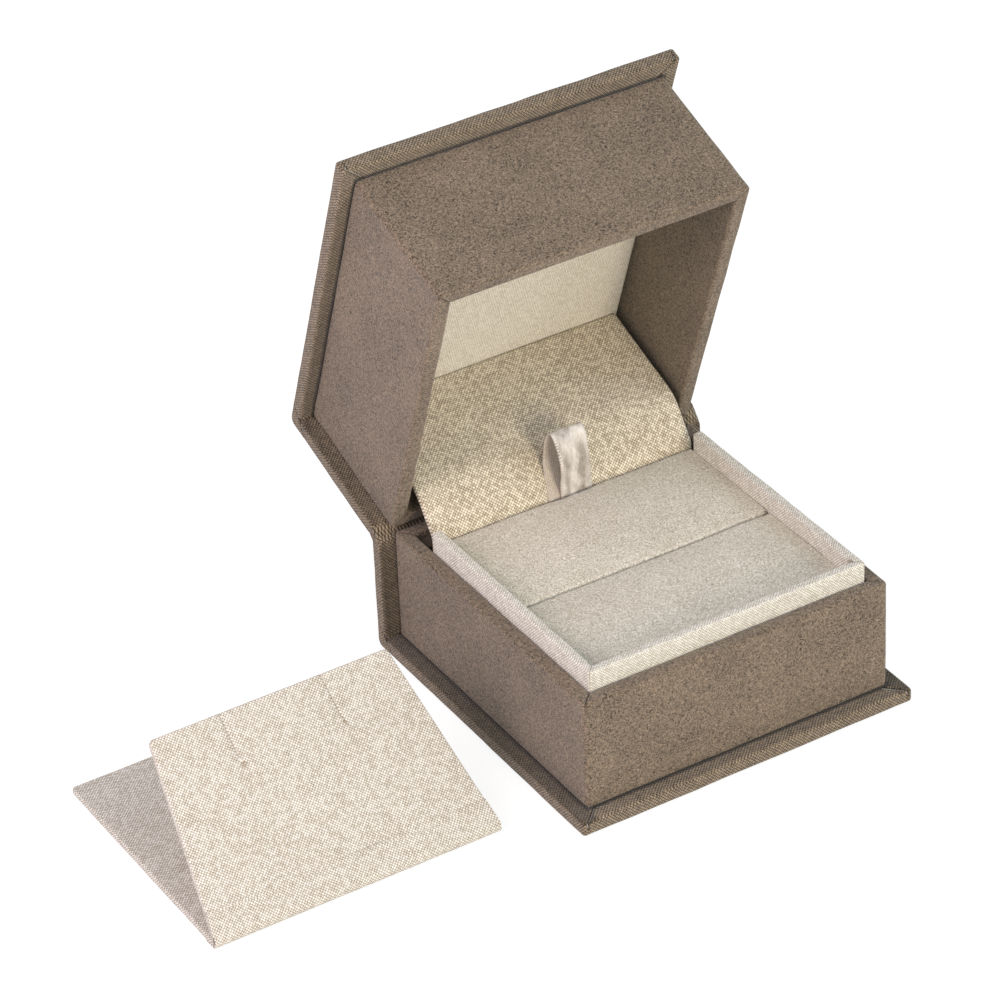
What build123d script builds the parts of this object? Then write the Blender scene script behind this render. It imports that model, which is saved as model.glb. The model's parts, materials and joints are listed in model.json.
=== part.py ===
from build123d import *
from math import atan2, cos, degrees, radians, sin
import os

# Hinged ring box, cloth-covered, with a lift-out ring pad and a loose folded card beside it.
# Millimetres. X runs along the hinge, Y to the back, Z up. The origin is the middle of the
# box body's footprint, on the table. The lid stands open, as it does on the table.

os.makedirs("parts", exist_ok=True)

# ---- body of the box ----
box_width = 57.0
box_depth = 57.0
base_wall_height = 20.0
lid_wall_height = 26.0
wall_board = 1.8
suede = 0.4
body_corner_round = 0.8
rim_round = 0.35
base_suede_turn_in = 10.0
lid_side_play = 0.2
rim_gap = 0.3

# ---- case boards that wrap round the body like a book cover ----
case_board = 2.0
case_cloth = 0.3
overhang_side = 2.75
overhang_front = 3.0
case_edge_round = 0.8
case_heel_round = 1.5
case_turn_in = 11.0
board_joint = 0.6
spine_drop = 0.9
lid_spine_rise = 1.4

# ---- hinge ----
open_angle = 70.0
hinge_behind_wall = 0.2
hinge_cloth = 0.25
hinge_cloth_inset = 0.45

# ---- inside the base ----
floor_card = 1.0
collar_card = 0.9
collar_cloth = 0.3
collar_above_rim = 3.4
collar_round = 0.5
collar_to_wall = 5.3
pad_play = 0.3
pad_card_thick = 1.2
pad_suede_thick = 0.4
pad_edge_height = 17.9
pad_crown = 0.7
pad_lip_round = 1.7
pad_end_round = 1.1
slit_width = 0.5
slit_depth = 12.0
pad_to_liner = 0.8
ribbon_width = 6.0
ribbon_thick = 0.3
ribbon_gap = 0.08
ribbon_foot_rise = 1.0
ribbon_loop_rise = 11.0
ribbon_loop_lean = 0.8
ribbon_bulge_front = 1.5
ribbon_bulge_back = 1.7
ribbon_top_round = 0.9
ribbon_x = 1.0

# ---- liner flap between the pad and the lid ----
liner_half_width = 24.8
liner_thick = 1.2
liner_to_wall = 3.9
liner_foot_drop = 13.0
liner_straight_drop = 0.2
liner_low_radius = 4.0
liner_low_angle = 30.0
liner_middle_length = 3.6
liner_high_radius = 9.0
liner_top_gap = 0.15
anchor_top_drop = 1.2

# ---- inside the lid ----
lining_foam = 5.2
lining_card = 0.8
lining_cloth = 0.3
lining_play = 0.2
lining_round = 0.25

# ---- loose folded card ----
insert_width = 50.5
insert_lower_depth = 46.0
insert_upper_depth = 32.0
insert_taper = 4.2
insert_tilt = 38.0
insert_gap = 9.8
insert_fold_y = -21.9
insert_card = 0.8
insert_cloth = 0.2
insert_fold_cloth = 0.25
insert_fold_gap = 0.15
insert_corner_round = 0.6
insert_slit_width = 0.5
insert_slit_length = 8.6
insert_slit_spread = 19.2

# ---- sizes that follow from the ones above ----
case_thick = case_board + 2 * case_cloth
case_half = box_width / 2 + overhang_side
board_half = case_half - case_cloth
board_round = case_edge_round - case_cloth
wall_thick = wall_board + 2 * suede
half_width = box_width / 2
back_y = box_depth / 2
spine_y = back_y + case_thick
floor_z = case_thick
rim_z = floor_z + base_wall_height
tray_z = floor_z + floor_card
inner_half = half_width - wall_thick
inner_back = back_y - wall_thick
collar_thick = collar_card + 2 * collar_cloth
collar_inner = inner_half - collar_thick
collar_top = rim_z + collar_above_rim
lid_half = half_width + lid_side_play
lid_inner = lid_half - wall_thick
collar_end_y = inner_back - collar_to_wall
liner_front_y = inner_back - liner_to_wall

# The lid is drawn shut, in planes that are tipped back about the hinge line.
hinge_y = back_y + hinge_behind_wall
hinge_z = rim_z + rim_gap / 2
hinge_line = (0, hinge_y, hinge_z)
tip_cos = cos(radians(open_angle))
tip_sin = sin(radians(open_angle))
lid_flat = Plane(origin=hinge_line, x_dir=(1, 0, 0), z_dir=(0, tip_sin, tip_cos))
lid_side = Plane(origin=hinge_line, x_dir=(0, tip_cos, -tip_sin), z_dir=(1, 0, 0))
lid_rim = rim_gap / 2
lid_board_in = lid_rim + lid_wall_height
lid_board_out = lid_board_in + case_thick
lid_back = back_y - hinge_y
lid_front = -lid_half - hinge_y
lid_spine_out = lid_back + case_thick
lid_spine_end = lid_rim + lid_spine_rise
lid_board_front = lid_front - overhang_front
base_board_front = -back_y - overhang_front
base_spine_end = rim_z - spine_drop


def at(points, x, y):
    """The points of a sketch that lie at one place."""
    return [p for p in points if abs(p.X - x) < 0.001 and abs(p.Y - y) < 0.001]


def case_cover(plane, front, back_in, back_out, face_out, face_in, free_end):
    """A flat board and a standing spine board, as one cloth wraps them, with soft edges."""
    with BuildPart() as cover:
        with BuildSketch(plane) as outline:
            with BuildLine():
                Polyline(
                    (front, face_out),
                    (back_out, face_out),
                    (back_out, free_end),
                    (back_in, free_end),
                    (back_in, face_in),
                    (front, face_in),
                    close=True,
                )
            make_face()
            heel = at(outline.vertices(), back_out, face_out)
            fillet(heel, case_heel_round)
            front_edge = at(outline.vertices(), front, face_out)
            front_edge += at(outline.vertices(), front, face_in)
            fillet(front_edge, case_edge_round)
            tip = at(outline.vertices(), back_out, free_end)
            tip += at(outline.vertices(), back_in, free_end)
            fillet(tip, case_thick / 2 - 0.05)
        extrude(amount=case_half, both=True)
        ends = cover.faces().filter_by(Axis.X).sort_by(Axis.X)
        fillet(ends[0].edges() + ends[-1].edges(), case_edge_round)
    return cover.part


def flat_board(plane, front, back, low, high):
    """Greyboard of a case panel: front edges eased, hinge side square."""
    with BuildPart() as board:
        with BuildSketch(plane) as outline:
            with Locations(((front + back) / 2, (low + high) / 2)):
                Rectangle(back - front, abs(high - low))
            corners = at(outline.vertices(), front, low)
            corners += at(outline.vertices(), front, high)
            fillet(corners, board_round)
        extrude(amount=board_half, both=True)
    return board.part


def spine_board(plane, inner, outer, heel, tip):
    """Greyboard of a spine panel: outer heel eased, free end rounded."""
    with BuildPart() as board:
        with BuildSketch(plane) as outline:
            with Locations(((inner + outer) / 2, (heel + tip) / 2)):
                Rectangle(outer - inner, abs(tip - heel))
            fillet(at(outline.vertices(), outer, heel), case_heel_round - case_cloth)
            ends = at(outline.vertices(), inner, tip) + at(outline.vertices(), outer, tip)
            fillet(ends, case_board / 2 - 0.05)
        extrude(amount=board_half, both=True)
    return board.part


def upright(plane, x_low, x_high, y_low, y_high, height):
    """One straight board or card standing on a plane."""
    with BuildPart() as wall:
        with BuildSketch(plane):
            with Locations(((x_low + x_high) / 2, (y_low + y_high) / 2)):
                Rectangle(x_high - x_low, y_high - y_low)
        extrude(amount=height)
    return wall.part


def body_frame(plane, half, front, back, height):
    """The four boards of a body: front and back run through, the sides stand between them."""
    outer = half - suede
    inner = outer - wall_board
    front_in = front + suede + wall_board
    back_in = back - suede - wall_board
    return (
        upright(plane, -outer, outer, front + suede, front_in, height),
        upright(plane, -outer, outer, back_in, back - suede, height),
        upright(plane, -outer, -inner, front_in, back_in, height),
        upright(plane, inner, outer, front_in, back_in, height),
    )


def body_cover(plane, half, front, back, height, top):
    """Suede tube round a body frame, open at both ends, with its rim edges eased."""
    with BuildPart() as cover:
        with BuildSketch(plane) as outline:
            with Locations((0, (front + back) / 2)):
                Rectangle(2 * half, back - front)
            fillet(outline.vertices(), body_corner_round)
            with Locations((0, (front + back) / 2)):
                Rectangle(
                    2 * (half - wall_thick), back - front - 2 * wall_thick, mode=Mode.SUBTRACT
                )
        extrude(amount=height)
        ends = cover.faces().sort_by(lambda f: (f.center() - plane.origin).dot(plane.z_dir))
        fillet((ends[-1] if top else ends[0]).edges(), rim_round)
    return cover.part


# ---------------------------------------------------------------- base: case boards and cloth
base_board = flat_board(
    Plane.YZ,
    base_board_front + case_cloth,
    back_y - board_joint / 2,
    case_cloth,
    case_thick - case_cloth,
)
base_spine_board = spine_board(
    Plane.YZ,
    back_y + case_cloth,
    spine_y - case_cloth,
    case_cloth,
    base_spine_end - case_cloth,
)
base_cover = case_cover(
    Plane.YZ, base_board_front, back_y, spine_y, 0, case_thick, base_spine_end
)
base_plane = Plane.XY.offset(floor_z)
with BuildPart() as base_case_cloth:
    add(base_cover)
    add(base_board, mode=Mode.SUBTRACT)
    add(base_spine_board, mode=Mode.SUBTRACT)
    with BuildSketch(base_plane):
        with Locations((0, (base_board_front + back_y) / 2)):
            Rectangle(
                2 * (case_half - case_turn_in), back_y - base_board_front - 2 * case_turn_in
            )
    extrude(amount=-case_cloth, mode=Mode.SUBTRACT)

# ---------------------------------------------------------------- base: body frame and suede
base_frame = body_frame(base_plane, half_width, -back_y, back_y, base_wall_height - suede)
base_tube = body_cover(base_plane, half_width, -back_y, back_y, base_wall_height, True)
with BuildPart() as base_suede:
    add(base_tube)
    for board in base_frame:
        add(board, mode=Mode.SUBTRACT)
    with BuildSketch(base_plane):
        Rectangle(2 * (inner_half + suede), 2 * (inner_back + suede))
    extrude(amount=base_wall_height - base_suede_turn_in, mode=Mode.SUBTRACT)

with BuildPart() as tray_floor_card:
    with BuildSketch(base_plane):
        Rectangle(2 * (inner_half + suede), 2 * (inner_back + suede))
    extrude(amount=floor_card)

# ---------------------------------------------------------------- base: collar round three sides
tray_plane = Plane.XY.offset(tray_z)
card_out = inner_half - collar_cloth
card_in = card_out - collar_card
card_front = -inner_back + collar_cloth
card_back = collar_end_y - collar_cloth
card_height = collar_top - collar_cloth - tray_z
card_turn = card_front + collar_card
collar_card_front = upright(tray_plane, -card_out, card_out, card_front, card_turn, card_height)
collar_card_left = upright(tray_plane, -card_out, -card_in, card_turn, card_back, card_height)
collar_card_right = upright(tray_plane, card_in, card_out, card_turn, card_back, card_height)
with BuildPart() as collar_wrap:
    with BuildSketch(tray_plane):
        with Locations((0, (collar_end_y - inner_back) / 2)):
            Rectangle(2 * inner_half, collar_end_y + inner_back)
        with Locations((0, (collar_end_y - inner_back + collar_thick) / 2)):
            Rectangle(
                2 * collar_inner, collar_end_y + inner_back - collar_thick, mode=Mode.SUBTRACT
            )
    extrude(amount=collar_top - tray_z)
    fillet(collar_wrap.faces().sort_by(Axis.Z)[-1].edges(), collar_round)
    add(collar_card_front, mode=Mode.SUBTRACT)
    add(collar_card_left, mode=Mode.SUBTRACT)
    add(collar_card_right, mode=Mode.SUBTRACT)

# ---------------------------------------------------------------- liner flap and its anchor
lining_face = lid_board_in - lining_foam - lining_card - lining_cloth
liner_high_angle = open_angle - liner_low_angle
with BuildPart() as hinge_liner:
    with BuildSketch(Plane.YZ):
        with BuildLine():
            foot = Line(
                (liner_front_y, rim_z - liner_foot_drop),
                (liner_front_y, rim_z - liner_straight_drop),
            )
            low_bend = JernArc(foot @ 1, foot % 1, liner_low_radius, -liner_low_angle)
            middle = PolarLine(low_bend @ 1, liner_middle_length, direction=low_bend % 1)
            high_bend = JernArc(middle @ 1, middle % 1, liner_high_radius, -liner_high_angle)
            bend_end = high_bend @ 1
            depth_in_lid = (bend_end.X - hinge_y) * tip_sin + (bend_end.Y - hinge_z) * tip_cos
            reach = lining_face - liner_top_gap - depth_in_lid
            PolarLine(bend_end, reach, direction=high_bend % 1)
            offset(amount=liner_thick, side=Side.RIGHT)
        make_face()
    extrude(amount=liner_half_width, both=True)

liner_anchor_strip = upright(
    tray_plane,
    -inner_half,
    inner_half,
    liner_front_y + liner_thick,
    inner_back,
    rim_z - anchor_top_drop - tray_z,
)

# ---------------------------------------------------------------- hinge cloth between the spines
tip_radius = case_thick / 2
base_tip = Vector(back_y + tip_radius, base_spine_end - tip_radius)
lid_tip_across = lid_back + tip_radius
lid_tip_up = lid_spine_end + tip_radius
lid_tip = Vector(
    hinge_y + lid_tip_across * tip_cos + lid_tip_up * tip_sin,
    hinge_z - lid_tip_across * tip_sin + lid_tip_up * tip_cos,
)
along = (lid_tip - base_tip).normalized()
across = Vector(-along.Y, along.X)
hinge_start = base_tip + across * tip_radius + along * hinge_cloth_inset
hinge_stop = lid_tip + across * tip_radius - along * hinge_cloth_inset
far_start = hinge_start + across * hinge_cloth
far_stop = hinge_stop + across * hinge_cloth
with BuildPart() as case_hinge_cloth:
    with BuildSketch(Plane.YZ):
        with BuildLine():
            Polyline(
                (hinge_start.X, hinge_start.Y),
                (hinge_stop.X, hinge_stop.Y),
                (far_stop.X, far_stop.Y),
                (far_start.X, far_start.Y),
                close=True,
            )
        make_face()
    extrude(amount=case_half - case_edge_round, both=True)

# ---------------------------------------------------------------- ring pad with its lifting ribbon
pad_base_z = tray_z + pad_card_thick
pad_half_width = collar_inner - pad_play
pad_front_y = -inner_back + collar_thick + pad_play
pad_rear_y = liner_front_y - pad_to_liner
slit_y = (pad_front_y + pad_rear_y) / 2
pad_edge_z = pad_base_z + pad_edge_height
slit_floor_z = pad_edge_z - slit_depth
slit_front_y = slit_y - slit_width / 2
slit_back_y = slit_y + slit_width / 2


def pad_half(low_y, high_y, inset, end_round):
    """One half of the pad, crowned and with rounded lips, drawn a little inside its suede."""
    low = low_y + inset
    high = high_y - inset
    edge = pad_edge_z - inset
    with BuildPart() as half:
        with BuildSketch(Plane.YZ) as outline:
            with BuildLine():
                Line((low, edge), (low, pad_base_z))
                Line((low, pad_base_z), (high, pad_base_z))
                Line((high, pad_base_z), (high, edge))
                ThreePointArc((high, edge), ((low + high) / 2, edge + pad_crown), (low, edge))
            make_face()
            lips = at(outline.vertices(), low, edge) + at(outline.vertices(), high, edge)
            fillet(lips, pad_lip_round - inset)
        extrude(amount=pad_half_width - inset, both=True)
        if end_round > 0:
            ends = half.faces().filter_by(Axis.X).sort_by(Axis.X)
            rims = (ends[0].edges() + ends[-1].edges()).filter_by(
                lambda e: e.center().Z > pad_edge_z - pad_edge_height / 4
            )
            fillet(rims, end_round)
    return half.part


pad_foam_rear = pad_half(slit_back_y, pad_rear_y, pad_suede_thick, 0)
pad_foam_front = pad_half(pad_front_y, slit_front_y, pad_suede_thick, 0)
pad_skin_rear = pad_half(slit_back_y, pad_rear_y, 0, pad_end_round)
pad_skin_front = pad_half(pad_front_y, slit_front_y, 0, pad_end_round)
slit_foot_half = slit_width / 2 + pad_suede_thick
with BuildPart() as ring_pad_foam:
    add(pad_foam_rear)
    add(pad_foam_front)
    with BuildSketch(Plane.XY.offset(pad_base_z)):
        with Locations((0, slit_y)):
            Rectangle(2 * (pad_half_width - pad_suede_thick), 2 * slit_foot_half)
    extrude(amount=slit_floor_z - pad_suede_thick - pad_base_z)
with BuildPart() as ring_pad_suede:
    add(pad_skin_rear)
    add(pad_skin_front)
    with BuildSketch(Plane.XY.offset(pad_base_z)):
        with Locations((0, slit_y)):
            Rectangle(2 * pad_half_width, slit_width)
    extrude(amount=slit_floor_z - pad_base_z)
    add(ring_pad_foam.part, mode=Mode.SUBTRACT)
ring_pad_card = upright(
    tray_plane, -pad_half_width, pad_half_width, pad_front_y, pad_rear_y, pad_card_thick
)

ribbon_front_y = pad_rear_y + ribbon_gap
ribbon_back_y = ribbon_front_y + 2 * ribbon_thick + ribbon_gap
loop_top_y = (ribbon_front_y + ribbon_back_y) / 2 + ribbon_loop_lean
loop_foot_z = pad_edge_z + ribbon_foot_rise
loop_top_z = loop_foot_z + ribbon_loop_rise
loop_middle_z = (loop_foot_z + loop_top_z) / 2
with BuildPart() as ribbon_loop:
    with BuildSketch(Plane.YZ.offset(ribbon_x)) as outline:
        with BuildLine():
            Line((ribbon_back_y, loop_foot_z), (ribbon_front_y, loop_foot_z))
            ThreePointArc(
                (ribbon_front_y, loop_foot_z),
                (ribbon_front_y - ribbon_bulge_front, loop_middle_z),
                (loop_top_y, loop_top_z),
            )
            ThreePointArc(
                (loop_top_y, loop_top_z),
                (ribbon_back_y + ribbon_bulge_back, loop_middle_z),
                (ribbon_back_y, loop_foot_z),
            )
        make_face()
        fillet(at(outline.vertices(), loop_top_y, loop_top_z), ribbon_top_round)
        offset(amount=-ribbon_thick, mode=Mode.SUBTRACT)
        tail_middle = (tray_z + loop_foot_z) / 2
        for tail_y in (ribbon_front_y + ribbon_thick / 2, ribbon_back_y - ribbon_thick / 2):
            with Locations((tail_y, tail_middle)):
                Rectangle(ribbon_thick, loop_foot_z - tray_z)
    extrude(amount=ribbon_width / 2, both=True)

# ---------------------------------------------------------------- lid: case boards and cloth
lid_top_board = flat_board(
    lid_side,
    lid_board_front + case_cloth,
    lid_back - board_joint / 2,
    lid_board_out - case_cloth,
    lid_board_in + case_cloth,
)
lid_spine_board = spine_board(
    lid_side,
    lid_back + case_cloth,
    lid_spine_out - case_cloth,
    lid_board_out - case_cloth,
    lid_spine_end + case_cloth,
)
lid_cover = case_cover(
    lid_side, lid_board_front, lid_back, lid_spine_out, lid_board_out, lid_board_in, lid_spine_end
)
lid_board_plane = lid_flat.offset(lid_board_in)
with BuildPart() as lid_case_cloth:
    add(lid_cover)
    add(lid_top_board, mode=Mode.SUBTRACT)
    add(lid_spine_board, mode=Mode.SUBTRACT)
    with BuildSketch(lid_board_plane):
        with Locations((0, (lid_board_front + lid_back) / 2)):
            Rectangle(
                2 * (case_half - case_turn_in), lid_back - lid_board_front - 2 * case_turn_in
            )
    extrude(amount=case_cloth, mode=Mode.SUBTRACT)

# ---------------------------------------------------------------- lid: body frame and suede
lid_frame = body_frame(
    lid_flat.offset(lid_rim + suede), lid_half, lid_front, lid_back, lid_wall_height - suede
)
lid_tube = body_cover(
    lid_flat.offset(lid_rim), lid_half, lid_front, lid_back, lid_wall_height, False
)
with BuildPart() as lid_suede:
    add(lid_tube)
    for board in lid_frame:
        add(board, mode=Mode.SUBTRACT)

# ---------------------------------------------------------------- lid: padded lining panel
lining_half = lid_inner - lining_play
lining_front = lid_front + wall_thick + lining_play
lining_back = lid_back - wall_thick - lining_play
lid_lining_foam = upright(
    lid_board_plane,
    -lining_half + lining_cloth,
    lining_half - lining_cloth,
    lining_front + lining_cloth,
    lining_back - lining_cloth,
    -lining_foam,
)
lid_lining_card = upright(
    lid_board_plane.offset(-lining_foam),
    -lining_half + lining_cloth,
    lining_half - lining_cloth,
    lining_front + lining_cloth,
    lining_back - lining_cloth,
    -lining_card,
)
lining_block = upright(
    lid_flat.offset(lining_face),
    -lining_half,
    lining_half,
    lining_front,
    lining_back,
    lid_board_in - lining_face,
)
with BuildPart() as lid_lining_cloth:
    add(lining_block)
    front_face = lid_lining_cloth.faces().sort_by(
        lambda f: (f.center() - lid_flat.origin).dot(lid_flat.z_dir)
    )[0]
    fillet(front_face.edges(), lining_round)
    add(lid_lining_foam, mode=Mode.SUBTRACT)
    add(lid_lining_card, mode=Mode.SUBTRACT)

# ---------------------------------------------------------------- loose folded card
insert_thick = insert_card + 2 * insert_cloth
insert_half = insert_width / 2
insert_centre_x = -case_half - insert_gap - insert_half
fold_radius = insert_thick + insert_fold_gap / 2
insert_low_plane = Plane(origin=(insert_centre_x, insert_fold_y, 0))
insert_up_plane = Plane(
    origin=(insert_centre_x, insert_fold_y, fold_radius),
    x_dir=(1, 0, 0),
    z_dir=(0, -sin(radians(insert_tilt)), cos(radians(insert_tilt))),
)
insert_up_back = insert_up_plane.offset(insert_fold_gap / 2)
insert_fold_plane = Plane(
    origin=(insert_centre_x, insert_fold_y, fold_radius), x_dir=(0, 1, 0), z_dir=(1, 0, 0)
)


def insert_panel(plane, far, taper, inset, thick, corner):
    """A panel of the folded card, from its fold to its rounded far corners."""
    with BuildPart() as panel:
        with BuildSketch(plane) as outline:
            with BuildLine():
                Polyline(
                    (-insert_half + inset, inset),
                    (insert_half - inset, inset),
                    (insert_half - taper - inset, far - inset),
                    (-insert_half + taper + inset, far - inset),
                    close=True,
                )
            make_face()
            fillet(outline.vertices().group_by(Axis.Y)[-1], corner)
        extrude(amount=thick)
    return panel.part


lower_card = insert_panel(
    insert_low_plane.offset(insert_cloth),
    insert_lower_depth,
    0,
    insert_cloth,
    insert_card,
    insert_corner_round - insert_cloth,
)
lower_block = insert_panel(
    insert_low_plane, insert_lower_depth, 0, 0, insert_thick, insert_corner_round
)
upper_card = insert_panel(
    insert_up_back.offset(insert_cloth),
    insert_upper_depth,
    insert_taper,
    insert_cloth,
    insert_card,
    insert_corner_round - insert_cloth,
)
upper_block = insert_panel(
    insert_up_back, insert_upper_depth, insert_taper, 0, insert_thick, insert_corner_round
)
with BuildPart() as insert_lower_cloth:
    add(lower_block)
    add(lower_card, mode=Mode.SUBTRACT)

slit_middle = insert_upper_depth - insert_slit_length / 2
with BuildPart() as insert_slits:
    with BuildSketch(insert_up_back):
        for side in (-1, 1):
            with Locations((side * insert_slit_spread / 2, slit_middle)):
                Rectangle(insert_slit_width, insert_slit_length)
    extrude(amount=insert_thick)
with BuildPart() as insert_upper_card:
    add(upper_card)
    add(insert_slits.part, mode=Mode.SUBTRACT)
with BuildPart() as insert_upper_cloth:
    add(upper_block)
    add(upper_card, mode=Mode.SUBTRACT)
    add(insert_slits.part, mode=Mode.SUBTRACT)

fold_inner = fold_radius - insert_fold_cloth
fold_start = 90 + insert_tilt
with BuildPart() as insert_fold:
    with BuildSketch(insert_fold_plane):
        with BuildLine():
            outer = CenterArc((0, 0), fold_radius, fold_start, 270 - fold_start)
            inner = CenterArc((0, 0), fold_inner, fold_start, 270 - fold_start)
            Line(outer @ 0, inner @ 0)
            Line(outer @ 1, inner @ 1)
        make_face()
    extrude(amount=insert_half - insert_cloth, both=True)

# ---------------------------------------------------------------- every piece, under its own name
pieces = {
    "base_board": base_board,
    "base_spine_board": base_spine_board,
    "base_case_cloth": base_case_cloth.part,
    "base_wall_front": base_frame[0],
    "base_wall_back": base_frame[1],
    "base_wall_left": base_frame[2],
    "base_wall_right": base_frame[3],
    "base_suede": base_suede.part,
    "tray_floor": tray_floor_card.part,
    "collar_front": collar_card_front,
    "collar_left": collar_card_left,
    "collar_right": collar_card_right,
    "collar_cover": collar_wrap.part,
    "liner_anchor": liner_anchor_strip,
    "hinge_liner": hinge_liner.part,
    "hinge_cloth": case_hinge_cloth.part,
    "pad_card": ring_pad_card,
    "pad_foam": ring_pad_foam.part,
    "pad_suede": ring_pad_suede.part,
    "ribbon_loop": ribbon_loop.part,
    "lid_top_board": lid_top_board,
    "lid_spine_board": lid_spine_board,
    "lid_case_cloth": lid_case_cloth.part,
    "lid_wall_front": lid_frame[0],
    "lid_wall_back": lid_frame[1],
    "lid_wall_left": lid_frame[2],
    "lid_wall_right": lid_frame[3],
    "lid_suede": lid_suede.part,
    "lid_lining_foam": lid_lining_foam,
    "lid_lining_card": lid_lining_card,
    "lid_lining_cloth": lid_lining_cloth.part,
    "insert_lower_card": lower_card,
    "insert_lower_cloth": insert_lower_cloth.part,
    "insert_upper_card": insert_upper_card.part,
    "insert_upper_cloth": insert_upper_cloth.part,
    "insert_fold_cloth": insert_fold.part,
}
for name, piece in pieces.items():
    piece.label = name
    export_step(piece, "parts/" + name + ".step")
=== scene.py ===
"""Looks of a cloth-covered ring box with its lid open, and of the folded card beside it."""

import json
import logging
from dataclasses import dataclass
from enum import Enum
from math import atan2, cos, pi, radians, sin
from typing import Callable, Sequence

import bmesh
import bpy
from mathutils import Matrix, Vector, noise


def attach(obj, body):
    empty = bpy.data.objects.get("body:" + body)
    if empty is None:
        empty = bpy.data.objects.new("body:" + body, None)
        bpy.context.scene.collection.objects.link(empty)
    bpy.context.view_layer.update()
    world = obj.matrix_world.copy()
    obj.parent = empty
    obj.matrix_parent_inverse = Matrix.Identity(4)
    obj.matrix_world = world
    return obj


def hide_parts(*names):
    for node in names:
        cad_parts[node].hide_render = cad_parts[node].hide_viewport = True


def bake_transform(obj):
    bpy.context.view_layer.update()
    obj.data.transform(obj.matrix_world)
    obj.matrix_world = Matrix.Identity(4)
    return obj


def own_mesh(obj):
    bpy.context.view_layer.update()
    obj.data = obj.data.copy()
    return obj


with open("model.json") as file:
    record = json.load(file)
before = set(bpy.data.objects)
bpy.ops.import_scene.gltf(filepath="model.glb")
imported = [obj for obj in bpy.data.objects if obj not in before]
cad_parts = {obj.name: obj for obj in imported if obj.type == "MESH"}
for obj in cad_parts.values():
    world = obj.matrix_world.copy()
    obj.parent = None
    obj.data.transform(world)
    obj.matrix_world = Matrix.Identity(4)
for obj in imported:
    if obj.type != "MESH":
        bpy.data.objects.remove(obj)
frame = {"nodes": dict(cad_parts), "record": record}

LOG = logging.getLogger("ring_box")
METRE = Matrix.Scale(0.001, 4)
TOUCH = 0.01  # how near a plane a point counts as on it, in mm
CLOTH_STEP = 3.0  # how finely a cloth cover is cut before it is shaped, in mm
HALF_COLOUR = (0.5, 0.5, 0.5)  # the middle of a noise texture's colour

Near = Callable[[Vector], bool]
Socket = bpy.types.NodeSocket
Value = float | Socket
Colour = tuple[float, float, float, float]


# ------------------------------------------------------------------------------ sizes, in mm
@dataclass(frozen=True)
class Body:
    """Sizes that the box's sub-assemblies share, in millimetres."""

    half: float = 28.5
    wall: float = 2.6
    floor: float = 2.6
    tray: float = 3.6
    rim: float = 22.6
    case_half: float = 31.25
    case_front: float = -31.5
    spine_back: float = 31.1
    spine_top: float = 21.7
    hinge_y: float = 28.7
    hinge_z: float = 22.75
    open_angle: float = 70.0


@dataclass(frozen=True)
class Lid:
    """The shut lid's sizes, measured from the hinge, in millimetres."""

    half: float = 28.7
    front: float = -57.4
    back: float = -0.2
    rim: float = 0.15
    top: float = 26.15
    case_front: float = -60.4
    case_top: float = 28.75
    spine_back: float = 2.4
    spine_low: float = 1.55

    def place(self, body: Body) -> Matrix:
        """Turns the shut lid's own coordinates, measured from the hinge, into the open lid's."""
        turn = Matrix.Rotation(radians(-body.open_angle), 4, "X")
        return Matrix.Translation((0, body.hinge_y, body.hinge_z)) @ turn


BODY = Body()
LID = Lid()


class Weave(Enum):
    """How many threads a cloth's pattern takes before it repeats."""

    PLAIN = 2.0
    BROAD_TWILL = 4.0


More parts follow.
